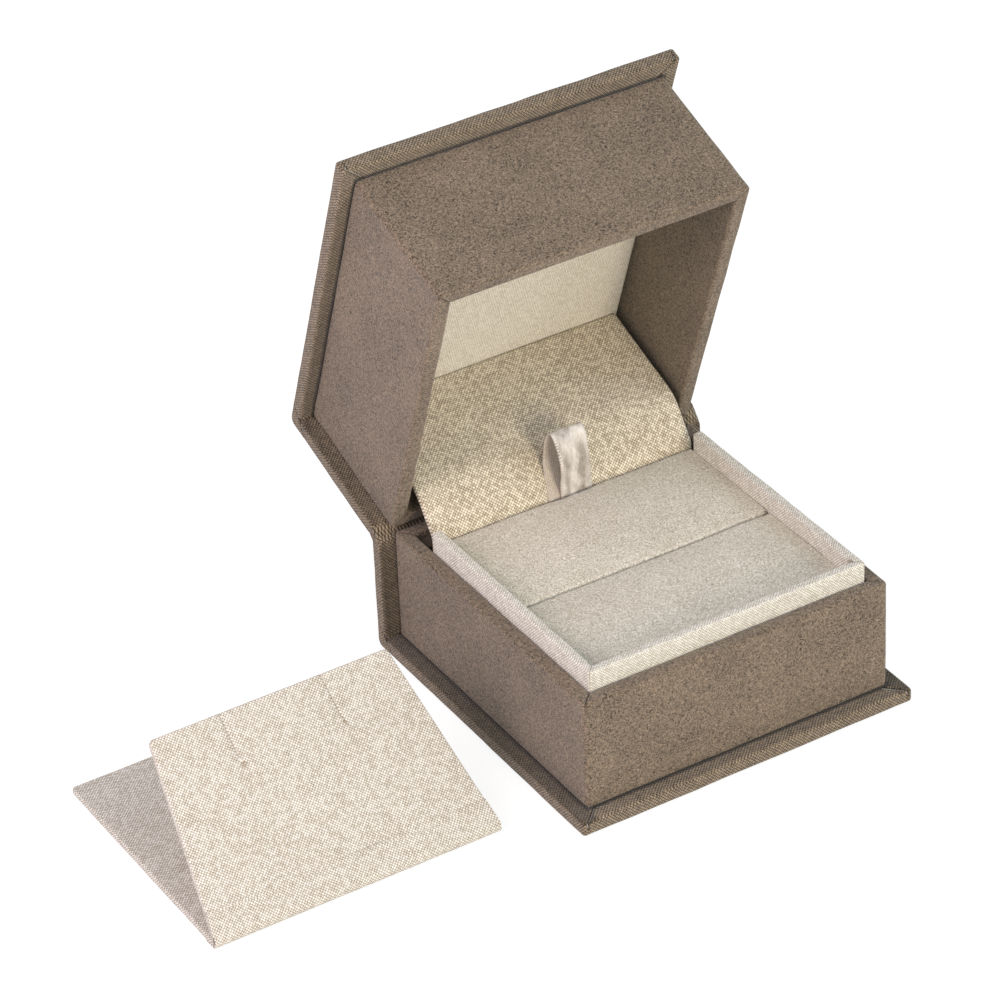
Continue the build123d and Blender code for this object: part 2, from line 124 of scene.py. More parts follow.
# ------------------------------------------------------------------------------ mesh work
class Shell:
    """A mesh shaped with bmesh operators, in millimetres and in its own straight frame."""

    def __init__(self) -> None:
        """Starts an empty mesh with a layer that marks where shade is painted into the cloth's colour, in
        creases and seams.
        """
        self.bm = bmesh.new()
        self.mark = self.bm.verts.layers.float.new("painted_shade")

    def face(self, points: Sequence[Sequence[float]]) -> bmesh.types.BMFace:
        """Makes one flat face.

        Args:
            points: its corners, in order.

        Returns:
            The face.
        """
        return self.bm.faces.new([self.bm.verts.new(p) for p in points])

    def block(self, low: Sequence[float], high: Sequence[float]) -> None:
        """Starts from a cube stretched between two corners.

        Args:
            low: its lowest corner.
            high: its highest corner.
        """
        made = bmesh.ops.create_cube(self.bm, size=1.0)["verts"]
        size = [h - l for l, h in zip(low, high)]
        middle = [(h + l) / 2 for l, h in zip(low, high)]
        bmesh.ops.scale(self.bm, vec=size, verts=made)
        bmesh.ops.translate(self.bm, vec=middle, verts=made)

    def grid(self, across: int, along: int) -> None:
        """Starts from a flat grid of one unit, from 0 to 1 both ways.

        Args:
            across: its steps along X.
            along: its steps along Y.
        """
        made = bmesh.ops.create_grid(
            self.bm, x_segments=across, y_segments=along, size=0.5
        )["verts"]
        bmesh.ops.translate(self.bm, vec=(0.5, 0.5, 0), verts=made)

    def round_corners(self, near: Near, radius: float, segments: int = 4) -> None:
        """Rounds the corners of a flat outline.

        Args:
            near: picks the corners.
            radius: of the rounding.
            segments: steps of each rounding.
        """
        bmesh.ops.bevel(
            self.bm, geom=[v for v in self.bm.verts if near(v.co)], offset=radius,
            offset_type="OFFSET", segments=segments, profile=0.5, affect="VERTICES", material=-1,
        )

    def extrude(self, by: Sequence[float]) -> None:
        """Gives a flat outline its depth.

        Args:
            by: how far its copy moves.
        """
        out = bmesh.ops.extrude_face_region(self.bm, geom=self.bm.faces[:])
        moved = [g for g in out["geom"] if isinstance(g, bmesh.types.BMVert)]
        bmesh.ops.translate(self.bm, vec=by, verts=moved)
        bmesh.ops.recalc_face_normals(self.bm, faces=self.bm.faces[:])

    def bevel(self, near: Near, radius: float, segments: int = 3) -> None:
        """Rounds every sharp edge whose two ends are picked.

        Args:
            near: picks the ends.
            radius: of the rounding.
            segments: steps of each rounding.
        """
        edges = [
            e
            for e in self.bm.edges
            if all(near(v.co) for v in e.verts)
            and len(e.link_faces) == 2
            and e.calc_face_angle(0.0) > 0.5
        ]
        self.bevel_edges(edges, radius, segments, clamp=True)

    def bevel_edges(
        self, edges: list[bmesh.types.BMEdge], radius: float, segments: int, clamp: bool = False
    ) -> None:
        """Rounds the given edges.

        Args:
            edges: what is rounded.
            radius: of the rounding.
            segments: steps of each rounding.
            clamp: stops the roundings from running into each other.
        """
        bmesh.ops.bevel(
            self.bm, geom=edges, offset=radius, offset_type="OFFSET", segments=segments,
            profile=0.5, affect="EDGES", material=-1, clamp_overlap=clamp,
        )

    def cut(self, through: Vector, normal: Vector, near: Near | None = None) -> None:
        """Cuts the faces along a plane, and leaves both sides in place.

        Args:
            through: a point of the plane.
            normal: its normal.
            near: picks the faces by their middles; all of them without it.
        """
        faces = [f for f in self.bm.faces if near is None or near(f.calc_center_median())]
        edges = {e for f in faces for e in f.edges}
        verts = {v for f in faces for v in f.verts}
        bmesh.ops.bisect_plane(
            self.bm,
            geom=[*verts, *edges, *faces],
            dist=0.0005,
            plane_co=through,
            plane_no=normal,
        )

    def slice(self, axis: int, start: float, stop: float, step: float) -> None:
        """Cuts the mesh at regular steps, so that it can be shaped finely.

        Args:
            axis: 0, 1 or 2 for X, Y or Z.
            start: where the cuts begin.
            stop: where they end.
            step: about how far apart they are.
        """
        count = max(1, round((stop - start) / step))
        normal = Vector([float(axis == i) for i in range(3)])
        for i in range(1, count):
            self.cut(normal * (start + (stop - start) * i / count), normal)

    def score(
        self, through: Vector, normal: Vector, near: Near, width: float, depth: float
    ) -> None:
        """Presses a narrow groove into the surface along a plane and marks it for painted shade.

        Args:
            through: a point of the plane.
            normal: its normal.
            near: picks the stretch of the surface that is grooved.
            width: half the groove's width.
            depth: how deep it is.
        """
        normal = normal.normalized()
        for side in (-width, 0.0, width):
            self.cut(through + normal * side, normal, near)
        self.bm.normal_update()
        for v in self.bm.verts:
            if abs((v.co - through).dot(normal)) < 0.002 and near(v.co):
                v.co -= v.normal * depth
                # painted shade: the groove's middle is marked, so the cloth's colour darkens there
                v[self.mark] = 1.0

    def ruffle(self, amount: float, size: float, seed: float) -> None:
        """Makes the surface a little uneven, as hand-wrapped cloth is.

        Args:
            amount: how far it stands in or out.
            size: of the unevenness.
            seed: keeps two pieces apart.
        """
        self.bm.normal_update()
        moved = []
        for v in self.bm.verts:
            place = v.co / size + Vector((seed, seed * 1.7, -seed))
            moved.append((v, v.normal * amount * noise.noise(place)))
        for v, by in moved:
            v.co += by

    def shape(self, rule: Callable[[Vector], Vector]) -> None:
        """Moves every point by a rule."""
        for v in self.bm.verts:
            v.co = rule(v.co)

    def thicken(self, thickness: float) -> None:
        """Gives a single surface its thickness, behind it.

        Args:
            thickness: of the cloth, in millimetres.
        """
        self.bm.normal_update()
        bmesh.ops.solidify(self.bm, geom=self.bm.faces[:], thickness=thickness)
        bmesh.ops.recalc_face_normals(self.bm, faces=self.bm.faces[:])

    def cloth_layer(self) -> bmesh.types.BMLayerItem:
        """The cloth's own coordinates, made on first use."""
        return self.bm.loops.layers.uv.get("cloth") or self.bm.loops.layers.uv.new("cloth")

    def flat_uv(self) -> None:
        """Lays the cloth's own millimetre grid on each side of a box-like piece."""
        self.bm.normal_update()
        layer = self.cloth_layer()
        apart = 40  # keeps the three directions on different threads
        for f in self.bm.faces:
            sizes = [abs(c) for c in f.normal]
            facing = sizes.index(max(sizes))
            a, b = ((1, 2), (0, 2), (0, 1))[facing]
            for loop in f.loops:
                loop[layer].uv = (loop.vert.co[a] + apart * facing, loop.vert.co[b])

    def keep_uv(self, width: float, length: float) -> None:
        """Keeps the flat grid's own coordinates, in millimetres, as the cloth's.

        Args:
            width: what one unit across stands for.
            length: what one unit along stands for.
        """
        layer = self.cloth_layer()
        for f in self.bm.faces:
            for loop in f.loops:
                loop[layer].uv = (loop.vert.co.x * width, loop.vert.co.y * length)

    def finish(
        self,
        name: str,
        materials: Sequence[bpy.types.Material],
        place: Matrix | None = None,
        recalculate: bool = True,
    ) -> bpy.types.Object:
        """Puts the mesh in the row frame, in metres, as a shown object.

        Args:
            name: the piece's name.
            materials: its finishes; the first one covers it all unless its faces say otherwise.
            place: turns its own coordinates into the row frame's, in millimetres.
            recalculate: turns the faces outwards again.

        Returns:
            The object, at the origin.
        """
        if recalculate:
            bmesh.ops.recalc_face_normals(self.bm, faces=self.bm.faces[:])
        self.bm.transform(METRE @ (place or Matrix.Identity(4)))
        for f in self.bm.faces:
            f.smooth = True
        mesh = bpy.data.meshes.new(name)
        self.bm.to_mesh(mesh)
        self.bm.free()
        for material in materials:
            mesh.materials.append(material)
        obj = bpy.data.objects.new(name, mesh)
        bpy.context.scene.collection.objects.link(obj)
        obj.modifiers.new("even_shading", "WEIGHTED_NORMAL").weight = 100
        LOG.info("%s: %d faces", name, len(mesh.polygons))
        return obj


# ------------------------------------------------------------------------------ finishes
class Graph:
    """Lays and links nodes in one node tree."""

    def __init__(self, tree: bpy.types.NodeTree) -> None:
        """Keeps the tree that the nodes go into."""
        self.tree = tree

    def add(self, kind: str, **settings: object) -> bpy.types.Node:
        """Adds a node and sets its properties.

        Args:
            kind: the node's type.
            settings: its properties.

        Returns:
            The node.
        """
        node = self.tree.nodes.new(kind)
        for key, value in settings.items():
            setattr(node, key, value)
        return node

    def feed(self, target: Socket, value: Value | Sequence[float]) -> None:
        """Links a socket to an input, or writes a plain value in it.

        Args:
            target: the input.
            value: the socket or the value.
        """
        if isinstance(value, bpy.types.NodeSocket):
            self.tree.links.new(value, target)
        else:
            target.default_value = value

    def math(self, operation: str, *values: Value) -> Socket:
        """One step of arithmetic.

        Args:
            operation: the Math node's operation.
            values: its inputs, in order.

        Returns:
            The result's socket.
        """
        node = self.add("ShaderNodeMath", operation=operation)
        for target, value in zip(node.inputs, values):
            self.feed(target, value)
        return node.outputs[0]

    def vector(self, operation: str, first: Value, second: Value | Sequence[float]) -> Socket:
        """One step of arithmetic on vectors, such as ADD, MULTIPLY or SCALE.

        Args:
            operation: the Vector Math node's operation.
            first: a vector.
            second: another vector, or a number for SCALE.

        Returns:
            The result's socket.
        """
        node = self.add("ShaderNodeVectorMath", operation=operation)
        self.feed(node.inputs[0], first)
        self.feed(node.inputs[3] if operation == "SCALE" else node.inputs[1], second)
        return node.outputs[0]

    def noise(self, at: Socket, scale: float, detail: float = 2.0, rough: float = 0.5) -> bpy.types.Node:
        """A noise texture at a place.

        Args:
            at: the place.
            scale: of the noise.
            detail: how many finer layers it has.
            rough: how strong they are.

        Returns:
            The node.
        """
        node = self.add("ShaderNodeTexNoise")
        self.feed(node.inputs["Vector"], at)
        node.inputs["Scale"].default_value = scale
        node.inputs["Detail"].default_value = detail
        node.inputs["Roughness"].default_value = rough
        return node

    def fit(self, value: Socket, low: float, high: float, out_low: float, out_high: float) -> Socket:
        """Stretches a range of values to another one, clamped.

        Args:
            value: what is stretched.
            low: where its range starts.
            high: where it ends.
            out_low: what the start becomes.
            out_high: what the end becomes.

        Returns:
            The result's socket.
        """
        node = self.add("ShaderNodeMapRange")
        for target, number in zip(node.inputs, (value, low, high, out_low, out_high)):
            self.feed(target, number)
        return node.outputs[0]

    def mix(self, share: Value, first: object, second: object) -> Socket:
        """Mixes two colours.

        Args:
            share: of the second colour.
            first: a colour.
            second: another.

        Returns:
            The result's socket.
        """
        node = self.add("ShaderNodeMix", data_type="RGBA")
        self.feed(node.inputs["Factor"], share)
        self.feed(node.inputs[6], first)
        self.feed(node.inputs[7], second)
        return node.outputs[2]


def new_group(
    name: str, inputs: dict[str, tuple[str, float | None]], outputs: dict[str, str]
) -> tuple[Graph, bpy.types.Node, bpy.types.Node]:
    """Starts a shader node group.

    Args:
        name: of the group.
        inputs: each input's kind and its default value.
        outputs: each output's kind.

    Returns:
        Its graph, and its input and output nodes.
    """
    tree = bpy.data.node_groups.new(name, "ShaderNodeTree")
    for key, (kind, value) in inputs.items():
        made = tree.interface.new_socket(name=key, in_out="INPUT", socket_type=kind)
        if value is not None:
            made.default_value = value
    for key, kind in outputs.items():
        tree.interface.new_socket(name=key, in_out="OUTPUT", socket_type=kind)
    graph = Graph(tree)
    return graph, graph.add("NodeGroupInput"), graph.add("NodeGroupOutput")


def weave_group() -> bpy.types.NodeTree:
    """Builds the weave: threads over and under each other, none quite like its neighbour.

    Returns:
        The group. It puts out Height and Tone, which is each thread's own shade.
    """
    graph, given, out = new_group(
        "thread_weave",
        {
            "Vector": ("NodeSocketVector", None),
            "Pitch": ("NodeSocketFloat", 0.5),
            "Repeat": ("NodeSocketFloat", 2.0),
            "Wander": ("NodeSocketFloat", 0.15),
        },
        dict.fromkeys(("Height", "Tone"), "NodeSocketFloat"),
    )
    at = given.outputs["Vector"]
    slow = graph.vector("SUBTRACT", graph.noise(at, 0.16, 1.0).outputs["Color"], HALF_COLOUR)
    fast = graph.vector("SUBTRACT", graph.noise(at, 1.3, 2.0).outputs["Color"], HALF_COLOUR)
    wander = graph.vector("ADD", graph.vector("SCALE", slow, 3.0), fast)
    moved = graph.vector("ADD", at, graph.vector("SCALE", wander, given.outputs["Wander"]))
    share = graph.math("DIVIDE", 1.0, given.outputs["Pitch"])
    split = graph.add("ShaderNodeSeparateXYZ")
    graph.feed(split.inputs[0], graph.vector("SCALE", moved, share))
    cell, bump, tone = [], [], []
    for side in (split.outputs[0], split.outputs[1]):
        number = graph.math("FLOOR", side)
        middle = graph.math("SUBTRACT", graph.math("FRACT", side), 0.5)
        square = graph.math("MULTIPLY", graph.math("MULTIPLY", middle, middle), 4.0)
        strand = graph.add("ShaderNodeTexWhiteNoise", noise_dimensions="1D")
        graph.feed(strand.inputs["W"], number)
        cell.append(number)
        bump.append(graph.math("SUBTRACT", 1.0, square))
        tone.append(strand.outputs["Value"])
    step = graph.math(
        "FLOORED_MODULO", graph.math("ADD", cell[0], cell[1]), given.outputs["Repeat"]
    )
    over = graph.math("LESS_THAN", step, graph.math("MULTIPLY", given.outputs["Repeat"], 0.5))
    under = graph.math("SUBTRACT", 1.0, over)
    lengthwise = [graph.math("MULTIPLY_ADD", b, 0.45, 0.55) for b in bump]
    warp = graph.math("MULTIPLY", graph.math("MULTIPLY", bump[0], lengthwise[1]), over)
    weft = graph.math("MULTIPLY", graph.math("MULTIPLY", bump[1], lengthwise[0]), under)
    fibre = graph.noise(moved, 5.0, 3.0, 0.65).outputs[0]
    height = graph.math("ADD", graph.math("ADD", warp, weft), graph.math("MULTIPLY", fibre, 0.5))
    thread = graph.math(
        "ADD", graph.math("MULTIPLY", tone[0], over), graph.math("MULTIPLY", tone[1], under)
    )
    crossing = graph.add("ShaderNodeCombineXYZ")
    graph.feed(crossing.inputs[0], cell[0])
    graph.feed(crossing.inputs[1], cell[1])
    own = graph.add("ShaderNodeTexWhiteNoise", noise_dimensions="2D")
    graph.feed(own.inputs["Vector"], crossing.outputs[0])
    slub = graph.fit(graph.noise(moved, 0.9, 2.0, 0.6).outputs[0], 0.3, 0.7, 0.0, 1.0)
    mixed = graph.math("MULTIPLY_ADD", own.outputs["Value"], 0.7, graph.math("MULTIPLY", slub, 0.15))
    graph.feed(out.inputs["Height"], height)
    graph.feed(out.inputs["Tone"], graph.math("MULTIPLY_ADD", thread, 0.15, mixed))
    return graph.tree


def nap_group() -> bpy.types.NodeTree:
    """Builds the nap of suede cloth: short hairs lying every way, in brushed patches.

    Returns:
        The group. It puts out Hair, Patch and Height.
    """
    graph, given, out = new_group(
        "suede_nap",
        {"Vector": ("NodeSocketVector", None), "Hair Scale": ("NodeSocketFloat", 1.0)},
        dict.fromkeys(("Hair", "Patch", "Height"), "NodeSocketFloat"),
    )
    at = given.outputs["Vector"]
    bend = graph.vector("SUBTRACT", graph.noise(at, 0.35, 2.0).outputs["Color"], HALF_COLOUR)
    moved = graph.vector("ADD", at, graph.vector("SCALE", bend, 1.6))
    near = graph.vector("SCALE", moved, given.outputs["Hair Scale"])
    hairs = []
    for angle in (35.0, -50.0):
        turn = graph.add("ShaderNodeMapping")
        graph.feed(turn.inputs["Vector"], near)
        turn.inputs["Rotation"].default_value = (0, 0, radians(angle))
        turn.inputs["Scale"].default_value = (1.0, 2.1, 1.0)
        hairs.append(graph.noise(turn.outputs[0], 1.7, 2.0, 0.6).outputs[0])
    grain = graph.noise(near, 2.3, 2.0, 0.6).outputs[0]
    both = graph.math("MULTIPLY", graph.math("ADD", *hairs), 0.25)
    hair = graph.math("ADD", both, graph.math("MULTIPLY", grain, 0.5))
    cells = graph.add("ShaderNodeVectorMath", operation="FLOOR")
    graph.feed(cells.inputs[0], graph.vector("SCALE", near, 2.0))
    tip = graph.add("ShaderNodeTexWhiteNoise", noise_dimensions="3D")
    graph.feed(tip.inputs["Vector"], cells.outputs[0])
    patch = graph.noise(moved, 0.075, 3.0, 0.55).outputs[0]
    tuft = graph.fit(hair, 0.43, 0.57, 0.0, 1.0)
    specks = graph.math("MULTIPLY", tip.outputs["Value"], 0.42)
    mixed = graph.math("ADD", graph.math("MULTIPLY", tuft, 0.58), specks)
    graph.feed(out.inputs["Hair"], mixed)
    graph.feed(out.inputs["Patch"], graph.fit(patch, 0.3, 0.7, 0.0, 1.0))
    graph.feed(out.inputs["Height"], hair)
    return graph.tree


def crease_group() -> bpy.types.NodeTree:
    """Builds the shade that gathers in creases and seams.

    Returns:
        The group. It puts out the cloth's colour, darkened by the crease mask.
    """
    graph, given, out = new_group(
        "crease_shade",
        {
            "Colour": ("NodeSocketColor", None),
            "Crease": ("NodeSocketColor", None),
            "Mask": ("NodeSocketFloat", 0.0),
        },
        {"Colour": "NodeSocketColor"},
    )
    mixed = graph.mix(given.outputs["Mask"], given.outputs["Colour"], given.outputs["Crease"])
    graph.feed(out.inputs["Colour"], mixed)
    return graph.tree


class Groups:
    """The shader node groups, each built once."""

    def __init__(self) -> None:
        """Builds them."""
        self.weave = weave_group()
        self.nap = nap_group()
        self.painted_shade = crease_group()


def shade(red: float, green: float, blue: float) -> Colour:
    """A colour with no transparency."""
    return (red, green, blue, 1.0)


def new_material(name: str, roughness: float) -> tuple[bpy.types.Material, Graph, bpy.types.Node]:
    """Starts a material.

    Args:
        name: of the material.
        roughness: of its surface.

    Returns:
        The material, its graph and its Principled BSDF.
    """
    material = bpy.data.materials.new(name)
    material.use_nodes = True
    shader = material.node_tree.nodes["Principled BSDF"]
    shader.inputs["Roughness"].default_value = roughness
    return material, Graph(material.node_tree), shader


def add_relief(graph: Graph, shader: bpy.types.Node, height: Socket, strength: float, reach: float) -> None:
    """Gives a shader its relief.

    Args:
        graph: the material's graph.
        shader: its Principled BSDF.
        height: the relief.
        strength: how much of it shows.
        reach: its depth, in metres.
    """
    relief = graph.add("ShaderNodeBump")
    relief.inputs["Strength"].default_value = strength
    relief.inputs["Distance"].default_value = reach
    graph.feed(relief.inputs["Height"], height)
    graph.feed(shader.inputs["Normal"], relief.outputs[0])


@dataclass(frozen=True)
class Finish:
    """What every cloth of the box shares: its two shades, its roughness and its sheen."""

    name: str
    dark: Colour
    light: Colour
    # the colour of the shade painted into creases and seams
    painted_shade: Colour
    roughness: float = 0.92
    sheen: float = 0.25
    bump: float = 0.5

    def start(self) -> tuple[bpy.types.Material, Graph, bpy.types.Node, Socket]:
        """Makes the material with its shader and the cloth's own coordinates.

        Returns:
            The material, its graph, its shader and the coordinates in millimetres.
        """
        material, graph, shader = new_material(self.name, self.roughness)
        shader.inputs["Sheen Weight"].default_value = self.sheen
        shader.inputs["Sheen Roughness"].default_value = 0.5
        shader.inputs["Specular IOR Level"].default_value = 0.2
        place = graph.add("ShaderNodeUVMap", uv_map="cloth")
        return material, graph, shader, place.outputs[0]

    def close(
        self, groups: Groups, graph: Graph, shader: bpy.types.Node, lit: Socket, height: Socket,
        reach: float,
    ) -> None:
        """Colours the cloth, paints shade into its creases and seams, and gives it its relief.

        Args:
            groups: the shared node groups.
            graph: the material's graph.
            shader: its Principled BSDF.
            lit: how much of the light shade shows.
            height: its relief.
            reach: the relief's depth, in metres.
        """
        # painted shade: marked creases and seams take the painted shade colour
        mask = graph.add("ShaderNodeAttribute", attribute_name="painted_shade")
        seam = graph.add("ShaderNodeGroup", node_tree=groups.painted_shade)
        graph.feed(seam.inputs["Colour"], graph.mix(lit, self.dark, self.light))
        seam.inputs["Crease"].default_value = self.painted_shade
        graph.feed(seam.inputs["Mask"], mask.outputs["Fac"])
        graph.feed(shader.inputs["Base Color"], seam.outputs["Colour"])
        add_relief(graph, shader, height, self.bump, reach)


@dataclass(frozen=True)
class WovenFinish(Finish):
    """A woven cloth."""

    pitch: float = 0.5
    weave: Weave = Weave.PLAIN
    turn: float = 0.0
    wander: float = 0.12
    contrast: float = 0.5
    patch: float = 0.12

    def build(self, groups: Groups) -> bpy.types.Material:
        """Makes the material.

        Args:
            groups: the shared node groups.

        Returns:
            The material.
        """
        material, graph, shader, place = self.start()
        turn = graph.add("ShaderNodeMapping")
        graph.feed(turn.inputs["Vector"], place)
        turn.inputs["Rotation"].default_value = (0, 0, radians(self.turn))
        weave = graph.add("ShaderNodeGroup", node_tree=groups.weave)
        graph.feed(weave.inputs["Vector"], turn.outputs[0])
        weave.inputs["Pitch"].default_value = self.pitch
        weave.inputs["Repeat"].default_value = self.weave.value
        weave.inputs["Wander"].default_value = self.wander
        deep = graph.fit(weave.outputs["Height"], 0.6, 1.05, 0.0, 1.0)
        tone = graph.fit(weave.outputs["Tone"], 0.2, 0.75, 0.0, 1.0)
        cloud = graph.noise(place, 0.11, 2.0).outputs[0]
        shades = graph.math("MULTIPLY", tone, 1.0 - self.contrast)
        lit = graph.math("MULTIPLY_ADD", deep, self.contrast, shades)
        lit = graph.math("ADD", lit, graph.math("MULTIPLY_ADD", cloud, self.patch * 2, -self.patch))
        self.close(groups, graph, shader, lit, weave.outputs["Height"], 0.00012)
        return material


@dataclass(frozen=True)
class SuedeFinish(Finish):
    """A suede-like cloth with a short nap."""

    hair_scale: float = 1.0
    patch: float = 0.3

    def build(self, groups: Groups) -> bpy.types.Material:
        """Makes the material.

        Args:
            groups: the shared node groups.

        Returns:
            The material.
        """
        material, graph, shader, place = self.start()
        nap = graph.add("ShaderNodeGroup", node_tree=groups.nap)
        graph.feed(nap.inputs["Vector"], place)
        nap.inputs["Hair Scale"].default_value = self.hair_scale
        lit = graph.math(
            "MULTIPLY_ADD",
            nap.outputs["Hair"],
            1.0 - self.patch,
            graph.math("MULTIPLY", nap.outputs["Patch"], self.patch),
        )
        self.close(groups, graph, shader, lit, nap.outputs["Height"], 0.0001)
        return material


@dataclass(frozen=True)
class SatinFinish(Finish):
    """Satin ribbon: lustrous, with painted sheen streaks in its colour and a woven selvedge along each
    side.
    """

    width: float = 6.0
    selvedge: float = 0.5
    knot_pitch: float = 0.55

    def build(self, groups: Groups) -> bpy.types.Material:
        """Makes the material.

        Args:
            groups: the shared node groups.

        Returns:
            The material.
        """
        material, graph, shader, place = self.start()
        shader.inputs["Anisotropic"].default_value = 0.5
        shader.inputs["Specular IOR Level"].default_value = 0.6
        stretch = graph.vector("MULTIPLY", place, (7.0, 0.8, 1.0))
        thread = graph.noise(stretch, 1.0, 3.0, 0.6).outputs[0]
        split = graph.add("ShaderNodeSeparateXYZ")
        graph.feed(split.inputs[0], place)
        off = graph.math("ABSOLUTE", graph.math("SUBTRACT", split.outputs[0], self.width / 2))
        # painted sheen: broad lighter streaks along the ribbon, put into its colour
        sheen = graph.noise(graph.vector("MULTIPLY", place, (0.55, 0.16, 1.0)), 1.0, 1.0).outputs[0]
        satin_half = self.width / 2 - self.selvedge
        edge = graph.fit(off, satin_half, satin_half + 0.1, 0.0, 1.0)
        knots = graph.math("SINE", graph.math("MULTIPLY", split.outputs[1], 2 * pi / self.knot_pitch))
        knot = graph.math("MULTIPLY", edge, graph.math("MULTIPLY_ADD", knots, 0.35, 0.3))
        painted_sheen = graph.fit(sheen, 0.35, 0.65, 0.0, 0.7)
        lit = graph.math("ADD", graph.fit(thread, 0.35, 0.65, 0.0, 0.45), painted_sheen)
        lit = graph.math("ADD", lit, graph.math("MULTIPLY", edge, 0.35))
        lit = graph.math("SUBTRACT", lit, graph.math("MULTIPLY", knot, 0.9))
        height = graph.math("ADD", graph.math("MULTIPLY", thread, 0.3), knot)
        self.close(groups, graph, shader, lit, height, 0.0001)
        return material


@dataclass(frozen=True)
class BoardFinish:
    """Card, board or foam that the cloth hides, with a fine grain."""

    name: str
    colour: Colour
    grain: float
    rough: float = 0.9

    def build(self) -> bpy.types.Material:
        """Makes the material.

        Returns:
            The material.
        """
        material, graph, shader = new_material(self.name, self.rough)
        place = graph.add("ShaderNodeTexCoord").outputs["Object"]
        fleck = graph.noise(place, self.grain, 4.0, 0.7).outputs[0]
        pale = tuple(min(1.0, c * 1.18) for c in self.colour[:3]) + (1.0,)
        deep = tuple(c * 0.8 for c in self.colour[:3]) + (1.0,)
        graph.feed(shader.inputs["Base Color"], graph.mix(graph.fit(fleck, 0.3, 0.7, 0, 1), deep, pale))
        add_relief(graph, shader, fleck, 0.3, 0.0001)
        return material


class Wardrobe:
    """Every finish of the box and the card, built once."""

    def __init__(self) -> None:
        """Builds the materials."""
        groups = Groups()
        # each cloth's third colour is the shade painted into its creases and seams
        self.case = WovenFinish(
            "case_cloth", shade(0.003, 0.002, 0.001), shade(0.385, 0.303, 0.208),
            shade(0.006, 0.005, 0.004), pitch=0.43, turn=45.0,
            wander=0.16, contrast=0.74, patch=0.08, bump=1.0,
        ).build(groups)
        self.suede = SuedeFinish(
            "body_suede", shade(0.002, 0.0015, 0.001), shade(0.365, 0.283, 0.20),
            shade(0.012, 0.009, 0.007), sheen=0.3, bump=0.8, patch=0.14, hair_scale=1.9,
        ).build(groups)
        self.collar = WovenFinish(
            "collar_cloth", shade(0.36, 0.31, 0.23), shade(0.95, 0.94, 0.87),
            shade(0.25, 0.20, 0.15), pitch=0.38, turn=45.0,
            wander=0.06, contrast=0.7, patch=0.04, bump=0.4,
        ).build(groups)
        self.pad = SuedeFinish(
            "pad_suede", shade(0.33, 0.28, 0.19), shade(1.0, 0.975, 0.875),
            shade(0.20, 0.16, 0.11), hair_scale=2.1, patch=0.10, bump=0.7,
        ).build(groups)
        self.liner = WovenFinish(
            "liner_cloth", shade(0.20, 0.145, 0.07), shade(0.98, 0.91, 0.75),
            shade(0.2, 0.16, 0.1), pitch=0.42, turn=45.0, wander=0.12,
            contrast=0.62, patch=0.06, bump=0.7,
        ).build(groups)
        self.lining = WovenFinish(
            "lining_cloth", shade(0.46, 0.39, 0.28), shade(0.98, 0.97, 0.90),
            shade(0.2, 0.16, 0.1), pitch=0.36, weave=Weave.BROAD_TWILL,
            wander=0.05, contrast=0.75, patch=0.04, bump=0.6,
        ).build(groups)
        self.linen = WovenFinish(
            "insert_cloth", shade(0.26, 0.21, 0.13), shade(0.88, 0.87, 0.815),
            shade(0.22, 0.15, 0.08), pitch=0.40, turn=45.0, wander=0.1,
            contrast=0.72, patch=0.03, bump=0.45,
        ).build(groups)
        self.satin = SatinFinish(
            "ribbon_satin", shade(0.25, 0.215, 0.18), shade(0.80, 0.76, 0.71),
            shade(0.4, 0.35, 0.3), roughness=0.30, sheen=0.05, bump=0.35,
        ).build(groups)
        self.satin_back = WovenFinish(
            "ribbon_back", shade(0.40, 0.34, 0.28), shade(0.74, 0.68, 0.60),
            shade(0.3, 0.25, 0.2), pitch=0.32, wander=0.04, contrast=0.7, bump=0.4,
        ).build(groups)
        self.board = BoardFinish("greyboard_fibre", shade(0.42, 0.40, 0.36), 900.0).build()
        self.paper = BoardFinish("brown_paper", shade(0.10, 0.078, 0.058), 1200.0).build()
        self.card = BoardFinish("white_card", shade(0.72, 0.70, 0.65), 1500.0).build()
        self.foam = BoardFinish("soft_foam", shade(0.78, 0.75, 0.66), 2500.0).build()

    def dress_cad(self) -> None:
        """Gives each CAD node that stays its own finish."""
        finishes = {
            "greyboard": self.board, "wall_board": self.board, "tray_card": self.card,
            "collar_card": self.card, "insert_card": self.card, "foam": self.foam,
            "case_cloth": self.case, "body_suede": self.suede, "collar_cloth": self.collar,
            "liner_cloth": self.liner, "hinge_cloth": self.case, "pad_suede": self.pad,
            "ribbon": self.satin, "lining_cloth": self.lining, "insert_cloth": self.linen,
        }
        papered = ("liner_anchor", "tray_floor")
        slots = {part["node"]: part["material_slot"] for part in frame["record"]["subparts"]}
        for name, obj in frame["nodes"].items():
            for spot in obj.material_slots:
                spot.material = self.paper if name in papered else finishes[slots[name]]


# ------------------------------------------------------------------------------ pieces
def put(obj: bpy.types.Object, body: str, slot: str, *nodes: str) -> bpy.types.Object:
    """Rides a piece on its body and hides the nodes that it stands for.

    Args:
        obj: the piece.
        body: what it moves with; empty where it bends between two.
        slot: the record's name of its finish; not used.
        nodes: the nodes that it stands for.

    Returns:
        The piece.
    """
    if body:
        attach(obj, body)
    if nodes:
        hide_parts(*nodes)
    return obj


